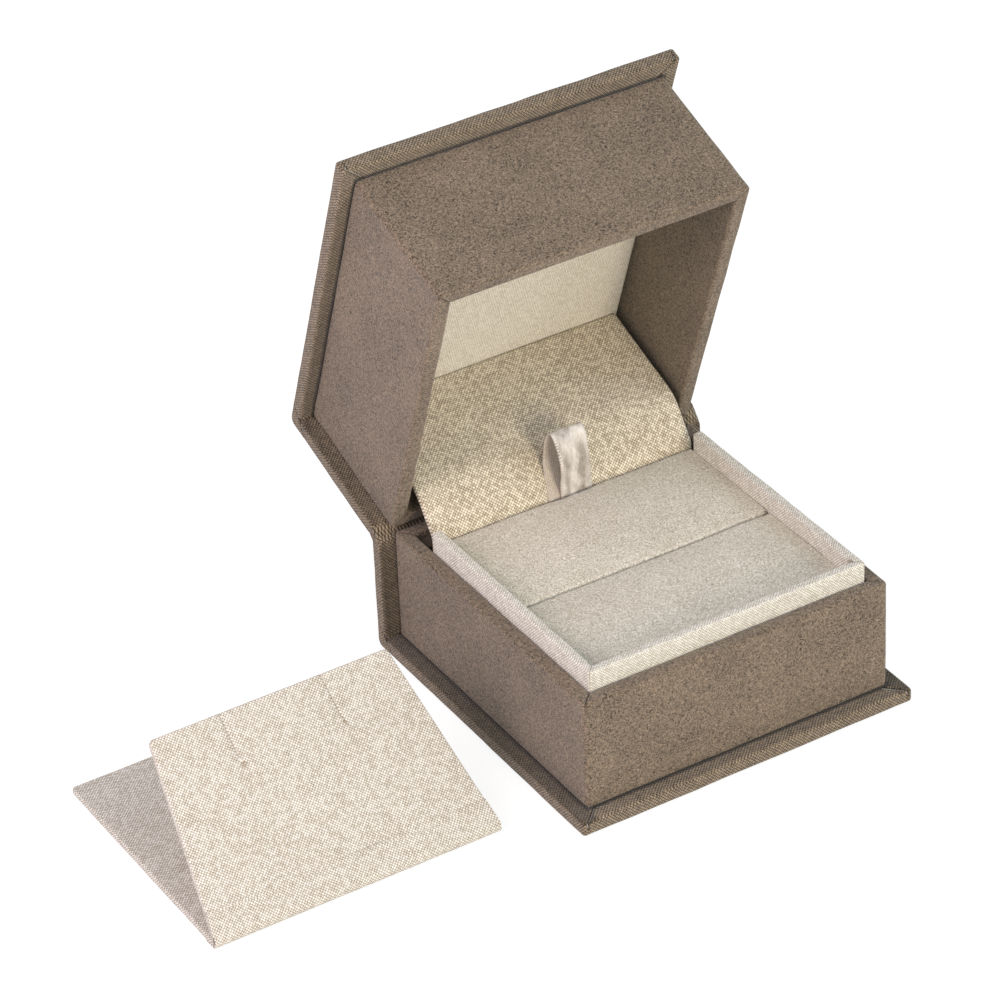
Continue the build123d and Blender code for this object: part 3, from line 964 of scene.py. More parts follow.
@dataclass
class CaseCover:
    """The woven cloth round a flat board and a spine board, with its folded corners."""

    name: str
    body: str
    node: str
    front: float
    back: float
    spine: float
    out: float
    inside: float
    end: float
    place: Matrix
    seed: float
    ledge_shade: float
    half: float = BODY.case_half
    edge: float = 0.6
    heel: float = 1.5
    ledge: float = 2.55
    front_ledge: float = 2.8
    seam_cuts: tuple[float, ...] = (-0.35, 0.05, 0.5)

    def build(self, wear: Wardrobe) -> bpy.types.Object:
        """Models and dresses the cover.

        Args:
            wear: the finishes.

        Returns:
            The piece.
        """
        shell = Shell()
        x = -self.half
        shell.face(
            [(x, self.front, self.out), (x, self.spine, self.out), (x, self.spine, self.end),
             (x, self.back, self.end), (x, self.back, self.inside), (x, self.front, self.inside)]
        )
        tip = (self.spine - self.back) / 2 - 0.05
        shell.round_corners(
            lambda p: abs(p.y - self.spine) + abs(p.z - self.out) < TOUCH,
            radius=self.heel, segments=6,
        )
        shell.round_corners(lambda p: abs(p.y - self.front) < TOUCH, radius=self.edge, segments=5)
        shell.round_corners(lambda p: abs(p.z - self.end) < TOUCH, radius=tip, segments=6)
        shell.extrude((2 * self.half, 0, 0))
        shell.bevel(lambda p: abs(abs(p.x) - self.half) < TOUCH, radius=self.edge, segments=4)
        shell.slice(0, -self.half, self.half, CLOTH_STEP)
        shell.slice(1, self.front, self.back, CLOTH_STEP)
        shell.slice(2, *sorted((self.inside, self.end)), CLOTH_STEP)
        self.fold_corners(shell)
        self.shade_seam(shell)
        shell.ruffle(amount=0.10, size=5.0, seed=self.seed)
        shell.flat_uv()
        obj = shell.finish(self.name, [wear.case], self.place)
        return put(obj, self.body, "case_cloth", self.node)

    def shade_seam(self, shell: Shell) -> None:
        """Paints shade on the ledges along the foot of the frame, darkest in the line where the frame meets
        the board.

        Args:
            shell: the mesh being shaped.
        """
        wall, front = self.half - self.ledge, self.front + self.front_ledge

        def on_face(p: Vector) -> bool:
            """Picks the face that the frame stands on."""
            return abs(p.z - self.inside) < 0.3

        for offset in self.seam_cuts:
            for side in (-1.0, 1.0):
                shell.cut(Vector((side * (wall + offset), 0, 0)), Vector((1, 0, 0)), on_face)
            shell.cut(Vector((0, front - offset, 0)), Vector((0, 1, 0)), on_face)
        # painted shade mask: 0.8 in the line where the frame meets the board, ledge_shade over the side
        # ledges, at least 0.4 along their back ends by the spine
        for v in shell.bm.verts:
            depth = 0.0
            if abs(v.co.y - self.back) < 0.3 and abs(v.co.x) > wall:
                depth = 0.4
            if on_face(v.co) and v.co.y <= self.back - 0.1:
                gap = max(abs(v.co.x) - wall, front - v.co.y)
                if -0.4 < gap < 0.1:
                    depth = max(depth, 0.8)
                elif abs(v.co.x) > wall:
                    depth = max(depth, self.ledge_shade)
            v[shell.mark] = max(v[shell.mark], depth)

    def fold_corners(self, shell: Shell) -> None:
        """Presses in the mitres where the cloth is folded over at the corners.

        Args:
            shell: the mesh being shaped.
        """
        way = 1.0 if self.inside > self.out else -1.0
        for side in (-1.0, 1.0):
            corner = Vector((side * self.half, self.front, self.inside))
            shell.score(
                corner + Vector((-side * 0.9, 0, 0)), Vector((side, 1.0, 0)),
                lambda p: (p - corner).length < 5.2 and (p.z - self.inside) * way > -1.4,
                width=0.3, depth=0.42,
            )
            root = Vector((side * self.half, self.back, self.inside))
            shell.score(
                root, Vector((0, 1.0, -way)),
                lambda p: abs(p.x - root.x) < 3.2 and (p - root).length < 3.6,
                width=0.18, depth=0.32,
            )


@dataclass
class BodyCover:
    """Suede cloth round the four boards of the base or of the lid."""

    name: str
    body: str
    nodes: tuple[str, ...]
    half: float
    front: float
    back: float
    low: float
    high: float
    rim: float
    place: Matrix
    seed: float
    wall: float = BODY.wall
    corner: float = 0.95

    def build(self, wear: Wardrobe) -> bpy.types.Object:
        """Models and dresses the cover.

        Args:
            wear: the finishes.

        Returns:
            The piece.
        """
        shell = Shell()
        z = self.low
        ring = shell.face(
            [(-self.half, self.front, z), (self.half, self.front, z),
             (self.half, self.back, z), (-self.half, self.back, z)]
        )
        shell.bm.normal_update()
        bmesh.ops.inset_region(
            shell.bm, faces=[ring], thickness=self.wall, use_boundary=True, use_even_offset=True
        )
        bmesh.ops.delete(shell.bm, geom=[ring], context="FACES")
        shell.extrude((0, 0, self.high - self.low))

        def corner(p: Vector) -> bool:
            """Picks the outer corners."""
            ends = min(abs(p.y - self.front), abs(p.y - self.back))
            return abs(abs(p.x) - self.half) < TOUCH and ends < TOUCH

        upright = [
            e for e in shell.bm.edges
            if all(corner(v.co) for v in e.verts) and abs(e.verts[0].co.z - e.verts[1].co.z) > 1
        ]
        shell.bevel_edges(upright, self.corner, segments=7)
        foot = self.low if self.rim == self.high else self.high
        wall = self.wall - TOUCH

        def outer_foot(p: Vector) -> bool:
            """Picks the outer edge that meets the case."""
            within = abs(p.x) < self.half - wall and self.front + wall < p.y < self.back - wall
            return abs(p.z - foot) < TOUCH and not within

        shell.bevel(lambda p: abs(p.z - self.rim) < TOUCH, radius=0.55, segments=4)
        shell.bevel(outer_foot, radius=0.45, segments=3)
        shell.slice(0, -self.half, self.half, CLOTH_STEP)
        shell.slice(1, self.front, self.back, CLOTH_STEP)
        shell.slice(2, self.low, self.high, CLOTH_STEP)
        self.mitre(shell)
        shell.ruffle(amount=0.10, size=6.0, seed=self.seed)
        shell.flat_uv()
        obj = shell.finish(self.name, [wear.suede], self.place)
        return put(obj, self.body, "body_suede", *self.nodes)

    def mitre(self, shell: Shell) -> None:
        """Presses the short diagonal seams into the rim's corners.

        Args:
            shell: the mesh being shaped.
        """
        for side in (-1.0, 1.0):
            for y, way in ((self.front, -1.0), (self.back, 1.0)):
                corner = Vector((side * self.half, y, self.rim))
                shell.score(
                    corner, Vector((1.0, -side * way, 0)),
                    lambda p: abs(p.z - self.rim) < 0.7 and (p - corner).length < 3.5,
                    width=0.16, depth=0.26,
                )


@dataclass
class Collar:
    """Cream cloth round the three card strips that stand up inside the base."""

    out: float = 25.9
    thick: float = 1.7
    end: float = 20.6
    low: float = BODY.tray
    high: float = 26.0

    def build(self, wear: Wardrobe) -> bpy.types.Object:
        """Models and dresses the collar.

        Args:
            wear: the finishes.

        Returns:
            The piece.
        """
        o, i, z = self.out, self.out - self.thick, self.low
        shell = Shell()
        shell.face(
            [(-o, self.end, z), (-o, -o, z), (o, -o, z), (o, self.end, z),
             (i, self.end, z), (i, -i, z), (-i, -i, z), (-i, self.end, z)]
        )
        shell.round_corners(lambda p: abs(p.y - self.end) < TOUCH, radius=0.45, segments=3)
        shell.round_corners(
            lambda p: abs(abs(p.x) - o) < TOUCH and abs(p.y + o) < TOUCH,
            radius=0.5, segments=4,
        )
        shell.extrude((0, 0, self.high - self.low))
        shell.bevel(lambda p: abs(p.z - self.high) < TOUCH, radius=0.4, segments=4)
        shell.slice(0, -o, o, CLOTH_STEP)
        shell.slice(1, -o, self.end, CLOTH_STEP)
        shell.slice(2, self.low, self.high, 3.5)
        for side in (-1.0, 1.0):
            corner = Vector((side * o, -o, self.high))
            shell.score(
                corner, Vector((1.0, side, 0)),
                lambda p: (p - corner).length < 2.5 and p.z > self.high - 0.6,
                width=0.08, depth=0.07,
            )
        shell.ruffle(amount=0.10, size=5.0, seed=7.0)
        shell.flat_uv()
        obj = shell.finish("collar_cloth_cover", [wear.collar])
        return put(obj, "base", "collar_cloth", "collar_cover")


def smooth_path(points: Sequence[tuple[float, float]], share: float) -> tuple[float, float, float]:
    """Follows a smooth curve through given points.

    Args:
        points: the points.
        share: how far along, from 0 to 1.

    Returns:
        The two coordinates, and the place counted in points.
    """
    last = len(points) - 1
    t = share * last
    i = min(int(t), last - 1)
    f = t - i
    a, b, c, d = (points[max(0, min(last, i + k))] for k in (-1, 0, 1, 2))
    u, v = (
        0.5 * (2 * b[k] + (c[k] - a[k]) * f + (2 * a[k] - 5 * b[k] + 4 * c[k] - d[k]) * f * f
               + (3 * b[k] - a[k] - 3 * c[k] + d[k]) * f ** 3)
        for k in (0, 1)
    )
    return u, v, t


@dataclass
class RingPad:
    """The slit ring pad in its suede cloth, and the ribbon that lifts it."""

    half: float = 24.1
    front: float = -24.1
    back: float = 21.55
    low: float = 4.8
    edge: float = 22.75
    crown: float = 0.7
    lip: float = 1.5
    back_lip: float = 0.6
    slit_lip: float = 0.55
    slit: float = 0.34
    middle: float = -1.45
    strand: float = 4.4
    ribbon_width: float = 6.0
    ribbon_weave: float = 66.0
    ribbon_thick: float = 0.22
    ribbon_parts_at: float = 22.2
    ribbon_path: tuple[tuple[float, float], ...] = (
        (21.2, 5.0), (21.2, 9.0), (21.2, 13.0), (21.2, 17.0), (21.2, 20.5), (21.2, 22.8),
        (20.95, 24.8), (20.3, 27.2), (20.1, 29.6), (20.8, 32.4), (22.0, 34.4), (22.75, 34.75),
        (23.35, 33.9), (23.95, 31.4), (23.95, 28.8), (23.2, 26.0), (22.15, 23.9), (21.72, 22.6),
        (21.68, 20.5), (21.68, 17.0), (21.68, 13.0), (21.68, 9.0), (21.68, 5.0),
    )

    def halves(self, wear: Wardrobe) -> list[bpy.types.Object]:
        """Models and dresses the pad's two puffed halves.

        Args:
            wear: the finishes.

        Returns:
            The two pieces.
        """
        slit_front, slit_back = self.middle - self.slit / 2, self.middle + self.slit / 2
        whole = ("pad_suede", "pad_foam")
        return [
            self.half_pad(wear, "pad_cover_front", self.front, slit_front, slit_front, 3.0, whole),
            self.half_pad(wear, "pad_cover_rear", slit_back, self.back, slit_back, 11.0, ()),
        ]

    def half_pad(
        self, wear: Wardrobe, name: str, low: float, high: float, slit_y: float, seed: float,
        nodes: tuple[str, ...],
    ) -> bpy.types.Object:
        """Models and dresses one half of the pad.

        Args:
            wear: the finishes.
            name: of the piece.
            low: its front.
            high: its back.
            slit_y: which of the two is at the slit.
            seed: keeps the two halves apart.
            nodes: the nodes that it stands for.

        Returns:
            The piece.
        """

        def top(p: Vector) -> bool:
            """Picks the upper side."""
            return p.z > self.edge - TOUCH

        shell = Shell()
        shell.block((-self.half, low, self.low), (self.half, high, self.edge))
        shell.bevel(lambda p: top(p) and abs(p.y - slit_y) < TOUCH, radius=self.slit_lip, segments=5)
        shell.bevel(lambda p: top(p) and abs(p.y - self.back) < TOUCH, radius=self.back_lip, segments=5)
        shell.bevel(
            lambda p: top(p) and min(self.half - abs(p.x), abs(p.y - self.front)) < TOUCH,
            radius=self.lip, segments=7,
        )
        shell.slice(0, -self.half, self.half, 1.0)
        shell.slice(1, low, high, 0.9)
        shell.slice(2, self.low, self.edge, 2.5)
        shell.flat_uv()
        shell.shape(lambda p: self.puff(p, low, high, seed))
        obj = put(shell.finish(name, [wear.pad]), "ring_pad", "pad_suede", *nodes)
        return obj

    def puff(self, p: Vector, low: float, high: float, seed: float) -> Vector:
        """Crowns a half of the pad and lets its cloth ripple a little where it turns in.

        Args:
            p: a point of the pad.
            low: the half's front.
            high: its back.
            seed: keeps the two halves apart.

        Returns:
            Where the point goes.
        """
        up = max(0.0, min(1.0, (p.z - self.edge + 4.0) / 4.0))
        across = (p.y - (low + high) / 2) / ((high - low) / 2)
        along = p.x / self.half
        crown = self.crown * (1 - across * across) * (1 - abs(along) ** 7)
        near_slit = max(0.0, 1 - abs(p.y - self.middle) / 3.0)
        ripple = noise.noise(Vector((p.x * 0.42 + seed, p.y * 0.12, seed)))
        dent = noise.noise(Vector((p.x * 0.09 + seed, p.y * 0.12, 4.0)))
        fine = noise.noise(Vector((p.x * 0.35, p.y * 0.35, seed)))
        lift = up * (crown + 0.14 * dent + 0.05 * fine - 0.12 * near_slit * (0.5 + ripple))
        side = up * near_slit * 0.12 * ripple
        if p.y > self.back - 1.2:
            side -= 0.38 * max(0.0, 1 - ((p.x - 1.0) / self.strand) ** 4)
            lift -= 0.2 * up * (p.y - self.back + 1.2)
        return Vector((p.x, p.y + side, p.z + lift))

    def ribbon(self, wear: Wardrobe, loop: bool) -> bpy.types.Object:
        """Models and dresses the ribbon as it stands with the lid open; the real one folds forward over the
        pad as the lid shuts.

        Args:
            wear: the finishes.
            loop: True for the loop that shows, False for the two ends glued behind the pad.

        Returns:
            The piece.
        """
        shell = Shell()
        shell.grid(14, 96)
        shell.keep_uv(self.ribbon_width, self.ribbon_weave)
        shell.shape(self.loop_point)
        drop = [f for f in shell.bm.faces if (f.calc_center_median().z < self.ribbon_parts_at) == loop]
        bmesh.ops.delete(shell.bm, geom=drop, context="FACES")
        shell.thicken(self.ribbon_thick)
        self.paint_back(shell)
        name = "ribbon_loop_strip" if loop else "ribbon_ends"
        strip = shell.finish(name, [wear.satin, wear.satin_back], recalculate=False)
        put(strip, "ring_pad", "ribbon", "ribbon_loop")
        if not loop:
            return strip
        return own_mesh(strip)

    def loop_point(self, p: Vector) -> Vector:
        """Bends the flat ribbon into its loop.

        Args:
            p: a point of the flat ribbon, from 0 to 1 both ways.

        Returns:
            Its place in the row frame, in millimetres.
        """
        y, z, t = smooth_path(self.ribbon_path, p.y)
        drift = 2.0 - 2.3 * max(0.0, min(1.0, (t - 5.0) / 12.0))
        if y < 21.4 and z > 22.0:  # the near strand turns a little as it leaves the pad
            y += (21.4 - y) * 0.75 * p.x
        wave = 0.06 * sin(9 * p.x + z)
        return Vector((drift + self.ribbon_width * (p.x - 0.5), y + wave * (z > 23.5), z))

    def paint_back(self, shell: Shell) -> None:
        """Gives the inside of the loop the ribbon's dull side.

        Args:
            shell: the ribbon's mesh.
        """
        shell.bm.normal_update()
        layer = shell.bm.loops.layers.uv["cloth"]
        for f in shell.bm.faces:
            along = (f.loops[0][layer].uv.y - self.ribbon_weave / 2) / self.ribbon_width
            out = Vector((0, max(-1.0, min(1.0, along)), max(0.0, 1 - abs(along))))
            if f.normal.dot(out) < 0:
                f.material_index = 1


@dataclass
class Liner:
    """The padded cloth flap that runs from behind the pad up into the lid."""

    half: float = 24.8
    thick: float = 1.2
    front: float = 22.0
    low: float = 9.6
    bend_at: float = 22.4
    low_radius: float = 4.0
    low_angle: float = 30.0
    middle: float = 3.6
    high_radius: float = 9.0
    reach: float = 16.4
    rim_round: float = 0.42

    def length(self) -> float:
        """How long the flap is, laid flat.

        Returns:
            Its length, in millimetres.
        """
        bends = radians(self.low_angle) * self.low_radius
        bends += radians(BODY.open_angle - self.low_angle) * self.high_radius
        return self.bend_at - self.low + bends + self.middle + self.reach

    def at(self, along: float) -> tuple[Vector, Vector]:
        """Where the flap's front is at a distance along it.

        Args:
            along: from its foot, in millimetres.

        Returns:
            The place and the way it faces, both across X.
        """
        y, z, angle = self.front, self.low, pi / 2
        runs = (
            (self.bend_at - self.low, 0.0),
            (radians(self.low_angle) * self.low_radius, self.low_radius),
            (self.middle, 0.0),
            (radians(BODY.open_angle - self.low_angle) * self.high_radius, self.high_radius),
            (self.reach, 0.0),
        )
        for length, radius in runs:
            s = min(along, length)
            if radius:
                turned = angle - s / radius
                y += radius * (sin(angle) - sin(turned))
                z += radius * (cos(turned) - cos(angle))
                angle = turned
            else:
                y += s * cos(angle)
                z += s * sin(angle)
            along -= s
            if along <= 0:
                break
        return Vector((0, y, z)), Vector((0, -sin(angle), cos(angle)))

    def build(self, wear: Wardrobe) -> bpy.types.Object:
        """Models and dresses the flap.

        Args:
            wear: the finishes.

        Returns:
            The piece.
        """
        total = self.length()
        shell = Shell()
        shell.grid(50, 60)
        shell.keep_uv(2 * self.half, total)
        shell.shape(lambda p: self.lay(p, total))
        shell.thicken(self.thick)
        rims = [e for e in shell.bm.edges if len(e.link_faces) == 2 and e.calc_face_angle(0) > 1.0]
        shell.bevel_edges(rims, self.rim_round, segments=3)
        obj = put(shell.finish("liner_flap", [wear.liner]), "", "liner_cloth", "hinge_liner")
        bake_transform(obj)
        return obj

    def lay(self, p: Vector, total: float) -> Vector:
        """Bends the flat flap along its path, with the soft waves of its padding.

        Args:
            p: a point of the flat flap, from 0 to 1 both ways.
            total: its length.

        Returns:
            Its place, in millimetres.
        """
        low = p.y * total
        spot, way = self.at(low)
        x = (2 * p.x - 1) * self.half
        free = max(0.0, min(1.0, (low - 13.5) / 4.0)) * max(0.0, min(1.0, (total - 2.0 - low) / 4.0))
        wave = 0.22 * noise.noise(Vector((x * 0.10, p.y * 4.0, 2.0)))
        dimple = -0.55 * 2.718 ** (-((x + 3.5) ** 2) / 9.0 - ((low - 24.0) ** 2) / 12.0)
        sag = 0.18 * cos(pi * p.x * 2 - pi)
        meet = max(0.0, min(1.0, (low - 5.0) / 4.0)) * max(0.0, min(1.0, (19.0 - low) / 5.0))
        meet *= 0.42 * (1 - 0.75 * max(0.0, 1 - ((x - 1.0) / 4.6) ** 4))
        return Vector((x, 0, 0)) + spot + way * (free * (wave + dimple + sag) + meet)


@dataclass
class LidLining:
    """The padded panel in the bottom of the lid."""

    half: float = 25.9
    front: float = -54.6
    back: float = -3.0
    face: float = 19.85
    board: float = 26.15

    def build(self, wear: Wardrobe) -> bpy.types.Object:
        """Models and dresses the panel.

        Args:
            wear: the finishes.

        Returns:
            The piece.
        """
        shell = Shell()
        shell.block((-self.half, self.front, self.face), (self.half, self.back, self.board))
        shell.bevel(lambda p: abs(p.z - self.face) < TOUCH, radius=1.0, segments=5)
        shell.slice(0, -self.half, self.half, 2.0)
        shell.slice(1, self.front, self.back, 2.0)
        shell.flat_uv()

        def swell(p: Vector) -> Vector:
            """Crowns the panel a little.

            Args:
                p: a point of the panel.

            Returns:
                Where it goes, in millimetres.
            """
            if p.z > self.face + 1.2:
                return p
            x = p.x / self.half
            y = (2 * p.y - self.front - self.back) / (self.back - self.front)
            bulge = 0.12 * (1 - x ** 6) * (1 - y ** 6) + 0.08 * noise.noise(p * 0.12)
            return Vector((p.x, p.y, p.z - bulge))

        shell.shape(swell)
        obj = shell.finish("lid_lining_panel", [wear.lining], LID.place(BODY))
        return put(obj, "lid", "lining_cloth", "lid_lining_cloth", "lid_lining_foam")


@dataclass
class HingeRoll:
    """The cloth that rolls over the joint between the two spine boards."""

    start: tuple[float, float] = (29.8, 20.75)
    stop: tuple[float, float] = (31.45, 22.75)
    half: float = 31.2
    radius: float = 1.02

    def build(self, wear: Wardrobe) -> bpy.types.Object:
        """Models and dresses the roll.

        Args:
            wear: the finishes.

        Returns:
            The piece.
        """
        dy, dz = self.stop[0] - self.start[0], self.stop[1] - self.start[1]
        length = Vector((dy, dz)).length
        lean = atan2(dz, dy)

        def roll(p: Vector) -> Vector:
            """Wraps the flat cloth round both edges and the joint between them.

            Args:
                p: a point of the flat cloth, from 0 to 1 both ways.

            Returns:
                Where it goes, in millimetres.
            """
            turn = 2 * pi * p.y
            along = (length / 2) * (1 if cos(turn) > 0 else -1) * min(1.0, abs(cos(turn)) * 3)
            end = min(1.0, (0.5 - abs(p.x - 0.5)) * 2 * self.half / 0.7)
            r = self.radius * (0.72 + 0.28 * end ** 0.5)
            r += 0.06 * noise.noise(Vector((p.x * 16, 3 * cos(turn), 3 * sin(turn))))
            a, b = along + r * cos(turn), r * sin(turn)
            y = (self.start[0] + self.stop[0]) / 2 + a * cos(lean) - b * sin(lean)
            z = (self.start[1] + self.stop[1]) / 2 + a * sin(lean) + b * cos(lean)
            return Vector(((2 * p.x - 1) * self.half, y, z))

        shell = Shell()
        shell.grid(80, 28)
        shell.keep_uv(2 * self.half, 2 * length + 2 * pi * self.radius)
        shell.shape(roll)
        bmesh.ops.remove_doubles(shell.bm, verts=shell.bm.verts[:], dist=0.001)
        rims = [e for e in shell.bm.edges if len(e.link_faces) == 1]
        bmesh.ops.holes_fill(shell.bm, edges=rims, sides=0)
        obj = put(shell.finish("hinge_roll", [wear.case]), "", "hinge_cloth", "hinge_cloth")
        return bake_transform(obj)


@dataclass
class FoldedCard:
    """The loose folded card: two leaves in linen cloth, joined by a soft fold."""

    width: float = 50.5
    centre: float = -66.3
    fold_y: float = -21.9
    thick: float = 1.2
    gap: float = 0.15
    lower: float = 46.0
    upper: float = 32.0
    taper: float = 4.2
    tilt: float = 38.0
    slit: float = 8.6
    spread: float = 19.2
    press: float = 4.0

    def up_place(self) -> Matrix:
        """Where the upper leaf's own straight frame stands.

        Returns:
            What turns its coordinates into the row frame's, in millimetres.
        """
        pivot = (self.centre, self.fold_y, self.thick + self.gap / 2)
        turn = Matrix.Rotation(radians(self.tilt), 4, "X")
        return Matrix.Translation(pivot) @ turn @ Matrix.Translation((0, 0, self.gap / 2))

    def leaf(self, far: float, taper: float) -> Shell:
        """Models one leaf, flat, with its fold at y = 0.

        Args:
            far: its depth.
            taper: how much each side draws in at its far edge.

        Returns:
            The mesh.
        """
        h = self.width / 2
        shell = Shell()
        shell.face([(-h, 0, 0), (h, 0, 0), (h - taper, far, 0), (taper - h, far, 0)])
        shell.round_corners(lambda p: p.y > far - TOUCH, radius=0.7, segments=5)
        shell.extrude((0, 0, self.thick))
        shell.bevel(lambda p: True, radius=0.32, segments=3)
        shell.slice(0, -h, h, 2.5)
        shell.slice(1, 0, far, 2.5)
        return shell

    def build(self, wear: Wardrobe) -> list[bpy.types.Object]:
        """Models and dresses the card.

        Args:
            wear: the finishes.

        Returns:
            Its lower leaf, upper leaf and fold.
        """
        low = self.leaf(self.lower, 0.0)
        low.ruffle(amount=0.05, size=9.0, seed=5.0)
        low.shape(lambda p: Vector((p.x, p.y, max(0.0, p.z))))
        low.flat_uv()
        place = Matrix.Translation((self.centre, self.fold_y, 0))
        lower = low.finish("card_lower_leaf", [wear.linen], place)
        put(lower, "insert_lower", "insert_cloth", "insert_lower_cloth")
        up = self.leaf(self.upper, self.taper)
        for side in (-1.0, 1.0):
            x = side * self.spread / 2
            up.score(
                Vector((x, 0, 0)), Vector((1.0, 0.02 * side, 0)),
                lambda p: p.y > self.upper - self.slit and abs(p.x - x) < 1.6,
                width=0.11, depth=0.3,
            )
        up.score(
            Vector((0, self.press, 0)), Vector((0, 1.0, 0)),
            lambda p: p.z > self.thick / 2 and abs(p.y - self.press) < 1.5,
            width=0.12, depth=0.05,
        )
        # less painted shade along the pressed line, and less near the far edge where the slits are
        for v in up.bm.verts:
            if abs(v.co.y - self.press) < TOUCH:
                v[up.mark] *= 0.18
            elif v.co.y > self.upper - 2.5:
                v[up.mark] *= 0.35
        up.ruffle(amount=0.07, size=9.0, seed=8.0)
        up.flat_uv()
        upper = up.finish("card_upper_leaf", [wear.linen], self.up_place())
        put(upper, "insert_upper", "insert_cloth", "insert_upper_cloth")
        return [lower, upper, self.fold(wear)]

    def fold(self, wear: Wardrobe) -> bpy.types.Object:
        """Models and dresses the soft fold between the leaves.

        Args:
            wear: the finishes.

        Returns:
            The piece.
        """
        radius = self.thick + self.gap / 2
        up, down = self.press, 2.0
        bend = radians(270 - 90 - self.tilt)
        total = up + down + bend * radius
        climb = radians(self.tilt)

        def curl(p: Vector) -> Vector:
            """Wraps the strip round the fold, and a little way on to each leaf.

            Args:
                p: a point of the flat strip, from 0 to 1 both ways.

            Returns:
                Where it goes, in millimetres.
            """
            at = p.y * total
            past = max(0.0, at - down - bend * radius)
            draw = self.taper * past / self.upper
            x = self.centre + (2 * p.x - 1) * (self.width / 2 + 0.02 - draw)
            r = radius + 0.035 - 0.07 * max(0.0, past - up + 1.2)
            if at < down:
                return Vector((x, self.fold_y + down - at, radius - r))
            angle = radians(270) - min(bend, (at - down) / radius)
            y = self.fold_y + r * cos(angle) + past * cos(climb)
            z = radius + r * sin(angle) + past * sin(climb)
            return Vector((x, y, z))

        shell = Shell()
        shell.grid(24, 36)
        shell.keep_uv(self.width, total)
        shell.shape(curl)
        shell.thicken(0.25)
        shell.shape(lambda p: Vector((p.x, p.y, max(0.0, p.z))))
        obj = put(shell.finish("card_fold", [wear.linen]), "", "insert_cloth", "insert_fold_cloth")
        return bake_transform(obj)


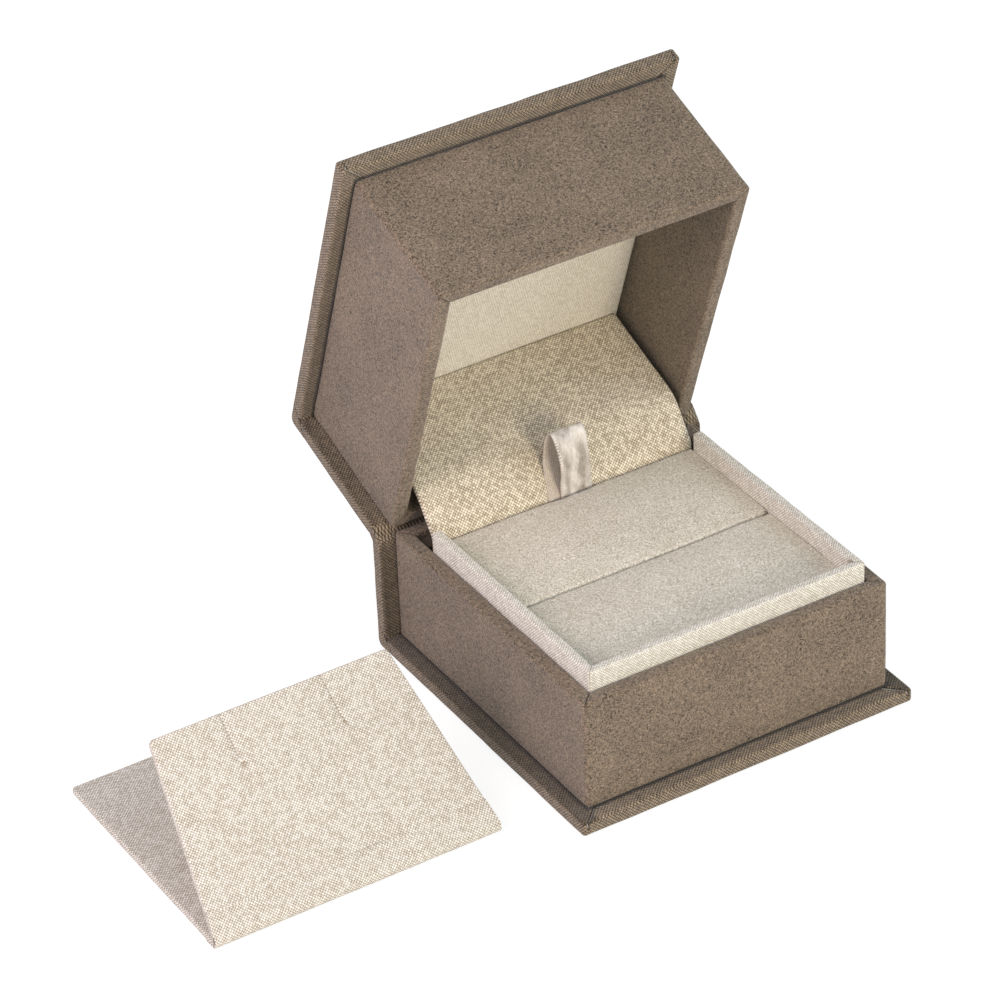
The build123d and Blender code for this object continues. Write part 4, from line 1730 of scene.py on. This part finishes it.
# ------------------------------------------------------------------------------ studio
@dataclass
class Studio:
    """The floor, the lamps and the camera."""

    focus: tuple[float, float, float] = (-0.02, 0.0, 0.03)
    azimuth: float = -30.365
    elevation: float = 34.041
    roll: float = -2.621
    aside: float = -0.022901
    above: float = 0.027793
    distance: float = 0.761878
    lens: float = 169.2
    floor_half: float = 6.0
    room_colour: Colour = (0.88, 0.965, 1.0, 1.0)
    room_strength: float = 0.54

    @staticmethod
    def towards(azimuth: float, elevation: float) -> Vector:
        """Which way something stands, seen from the object, for angles in radians."""
        flat = cos(elevation)
        return Vector((sin(azimuth) * flat, -cos(azimuth) * flat, sin(elevation)))

    def camera(self) -> None:
        """Stands the camera where the photograph's was."""
        a, e, r = radians(self.azimuth), radians(self.elevation), radians(self.roll)
        back = self.towards(a, e)
        right = Vector((cos(a), sin(a), 0))
        up = back.cross(right)
        level = cos(r) * right + sin(r) * up
        high = -sin(r) * right + cos(r) * up
        spot = back * self.distance + level * self.aside + high * self.above
        data = bpy.data.cameras.new("photo_camera")
        data.lens = self.lens
        data.sensor_width = 36.0
        data.clip_start = 0.01
        data.clip_end = 20.0
        camera = bpy.data.objects.new("photo_camera", data)
        turned = Matrix((level, high, back)).transposed().to_4x4()
        camera.matrix_world = Matrix.Translation(spot) @ turned
        bpy.context.scene.collection.objects.link(camera)
        bpy.context.scene.camera = camera

    def lamp(
        self, name: str, azimuth: float, elevation: float, power: float, size: float,
        colour: tuple[float, float, float], away: float = 1.5,
    ) -> None:
        """Hangs one soft square lamp that looks at the object.

        Args:
            name: of the lamp.
            azimuth: its side, from the front, in degrees.
            elevation: its height, in degrees.
            power: in watts.
            size: of its side, in metres.
            colour: of its light.
            away: how far off it hangs, in metres.
        """
        back = self.towards(radians(azimuth), radians(elevation))
        data = bpy.data.lights.new(name, "AREA")
        data.shape = "SQUARE"
        data.size = size
        data.energy = power
        data.color = colour
        obj = bpy.data.objects.new(name, data)
        turn = back.to_track_quat("Z", "Y").to_matrix().to_4x4()
        obj.matrix_world = Matrix.Translation(Vector(self.focus) + back * away) @ turn
        bpy.context.scene.collection.objects.link(obj)

    def floor(self) -> None:
        """Lays the pale floor, which shows white to the camera and keeps its shadow."""
        bm = bmesh.new()
        bmesh.ops.create_grid(bm, x_segments=1, y_segments=1, size=self.floor_half)
        mesh = bpy.data.meshes.new("floor")
        bm.to_mesh(mesh)
        bm.free()
        floor = bpy.data.objects.new("floor", mesh)
        bpy.context.scene.collection.objects.link(floor)
        material = bpy.data.materials.new("floor_paint")
        material.use_nodes = True
        tree = material.node_tree
        tree.nodes.remove(tree.nodes["Principled BSDF"])
        graph = Graph(tree)
        plain = graph.add("ShaderNodeBsdfDiffuse")
        plain.inputs["Color"].default_value = (0.8, 0.8, 0.8, 1)
        pale = graph.add("ShaderNodeBsdfDiffuse")
        pale.inputs["Color"].default_value = (0.34, 0.34, 0.34, 1)
        glow = graph.add("ShaderNodeEmission")
        glow.inputs["Strength"].default_value = 0.8
        seen = graph.add("ShaderNodeAddShader")
        graph.feed(seen.inputs[0], pale.outputs[0])
        graph.feed(seen.inputs[1], glow.outputs[0])
        choice = graph.add("ShaderNodeMixShader")
        graph.feed(choice.inputs[0], graph.add("ShaderNodeLightPath").outputs["Is Camera Ray"])
        graph.feed(choice.inputs[1], plain.outputs[0])
        graph.feed(choice.inputs[2], seen.outputs[0])
        graph.feed(tree.nodes["Material Output"].inputs["Surface"], choice.outputs[0])
        mesh.materials.append(material)

    def world(self) -> None:
        """Lights the room evenly, and shows white behind the object."""
        world = bpy.data.worlds.new("room")
        bpy.context.scene.world = world
        world.use_nodes = True
        graph = Graph(world.node_tree)
        room = world.node_tree.nodes["Background"]
        room.inputs["Color"].default_value = self.room_colour
        room.inputs["Strength"].default_value = self.room_strength
        white = graph.add("ShaderNodeBackground")
        white.inputs["Strength"].default_value = 1.0
        choice = graph.add("ShaderNodeMixShader")
        graph.feed(choice.inputs[0], graph.add("ShaderNodeLightPath").outputs["Is Camera Ray"])
        graph.feed(choice.inputs[1], room.outputs[0])
        graph.feed(choice.inputs[2], white.outputs[0])
        graph.feed(world.node_tree.nodes["World Output"].inputs["Surface"], choice.outputs[0])

    def build(self) -> None:
        """Sets up the whole studio."""
        self.floor()
        self.world()
        self.lamp("front_lamp", 5.0, 12.0, 11.8, 0.5, (1.0, 0.86, 0.68))
        self.lamp("right_lamp", 50.0, 25.0, 5.0, 0.9, (0.84, 0.90, 1.0))
        self.lamp("left_lamp", -86.0, 34.0, 0.78, 0.25, (1.0, 0.80, 0.84), away=0.34)
        self.camera()
        bpy.context.scene.view_settings.view_transform = "Standard"


def main() -> None:
    """Builds the object's pieces in order."""
    logging.basicConfig(level=logging.INFO, format="%(message)s")
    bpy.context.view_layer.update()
    wear = Wardrobe()
    wear.dress_cad()
    flat = Matrix.Identity(4)
    lid = LID.place(BODY)
    CaseCover(
        name="base_case_cover", body="base", node="base_case_cloth", front=BODY.case_front,
        back=BODY.half, spine=BODY.spine_back, out=0.0, inside=BODY.floor, end=BODY.spine_top,
        place=flat, seed=1.0, ledge_shade=0.5,
    ).build(wear)
    CaseCover(
        name="lid_case_cover", body="lid", node="lid_case_cloth", front=LID.case_front,
        back=LID.back, spine=LID.spine_back, out=LID.case_top, inside=LID.top, end=LID.spine_low,
        place=lid, seed=2.0, ledge_shade=0.0,
    ).build(wear)
    BodyCover(
        name="base_body_cover", body="base", nodes=("base_suede",), half=BODY.half,
        front=-BODY.half, back=BODY.half, low=BODY.floor, high=BODY.rim, rim=BODY.rim,
        place=flat, seed=3.0,
    ).build(wear)
    BodyCover(
        name="lid_body_cover", body="lid", nodes=("lid_suede",), half=LID.half,
        front=LID.front, back=LID.back, low=LID.rim, high=LID.top, rim=LID.rim,
        place=lid, seed=4.0,
    ).build(wear)
    Collar().build(wear)
    pad = RingPad()
    pad.halves(wear)
    pad.ribbon(wear, True)
    pad.ribbon(wear, False)
    Liner().build(wear)
    LidLining().build(wear)
    HingeRoll().build(wear)
    FoldedCard().build(wear)
    Studio().build()


if __name__ == "__main__":
    main()
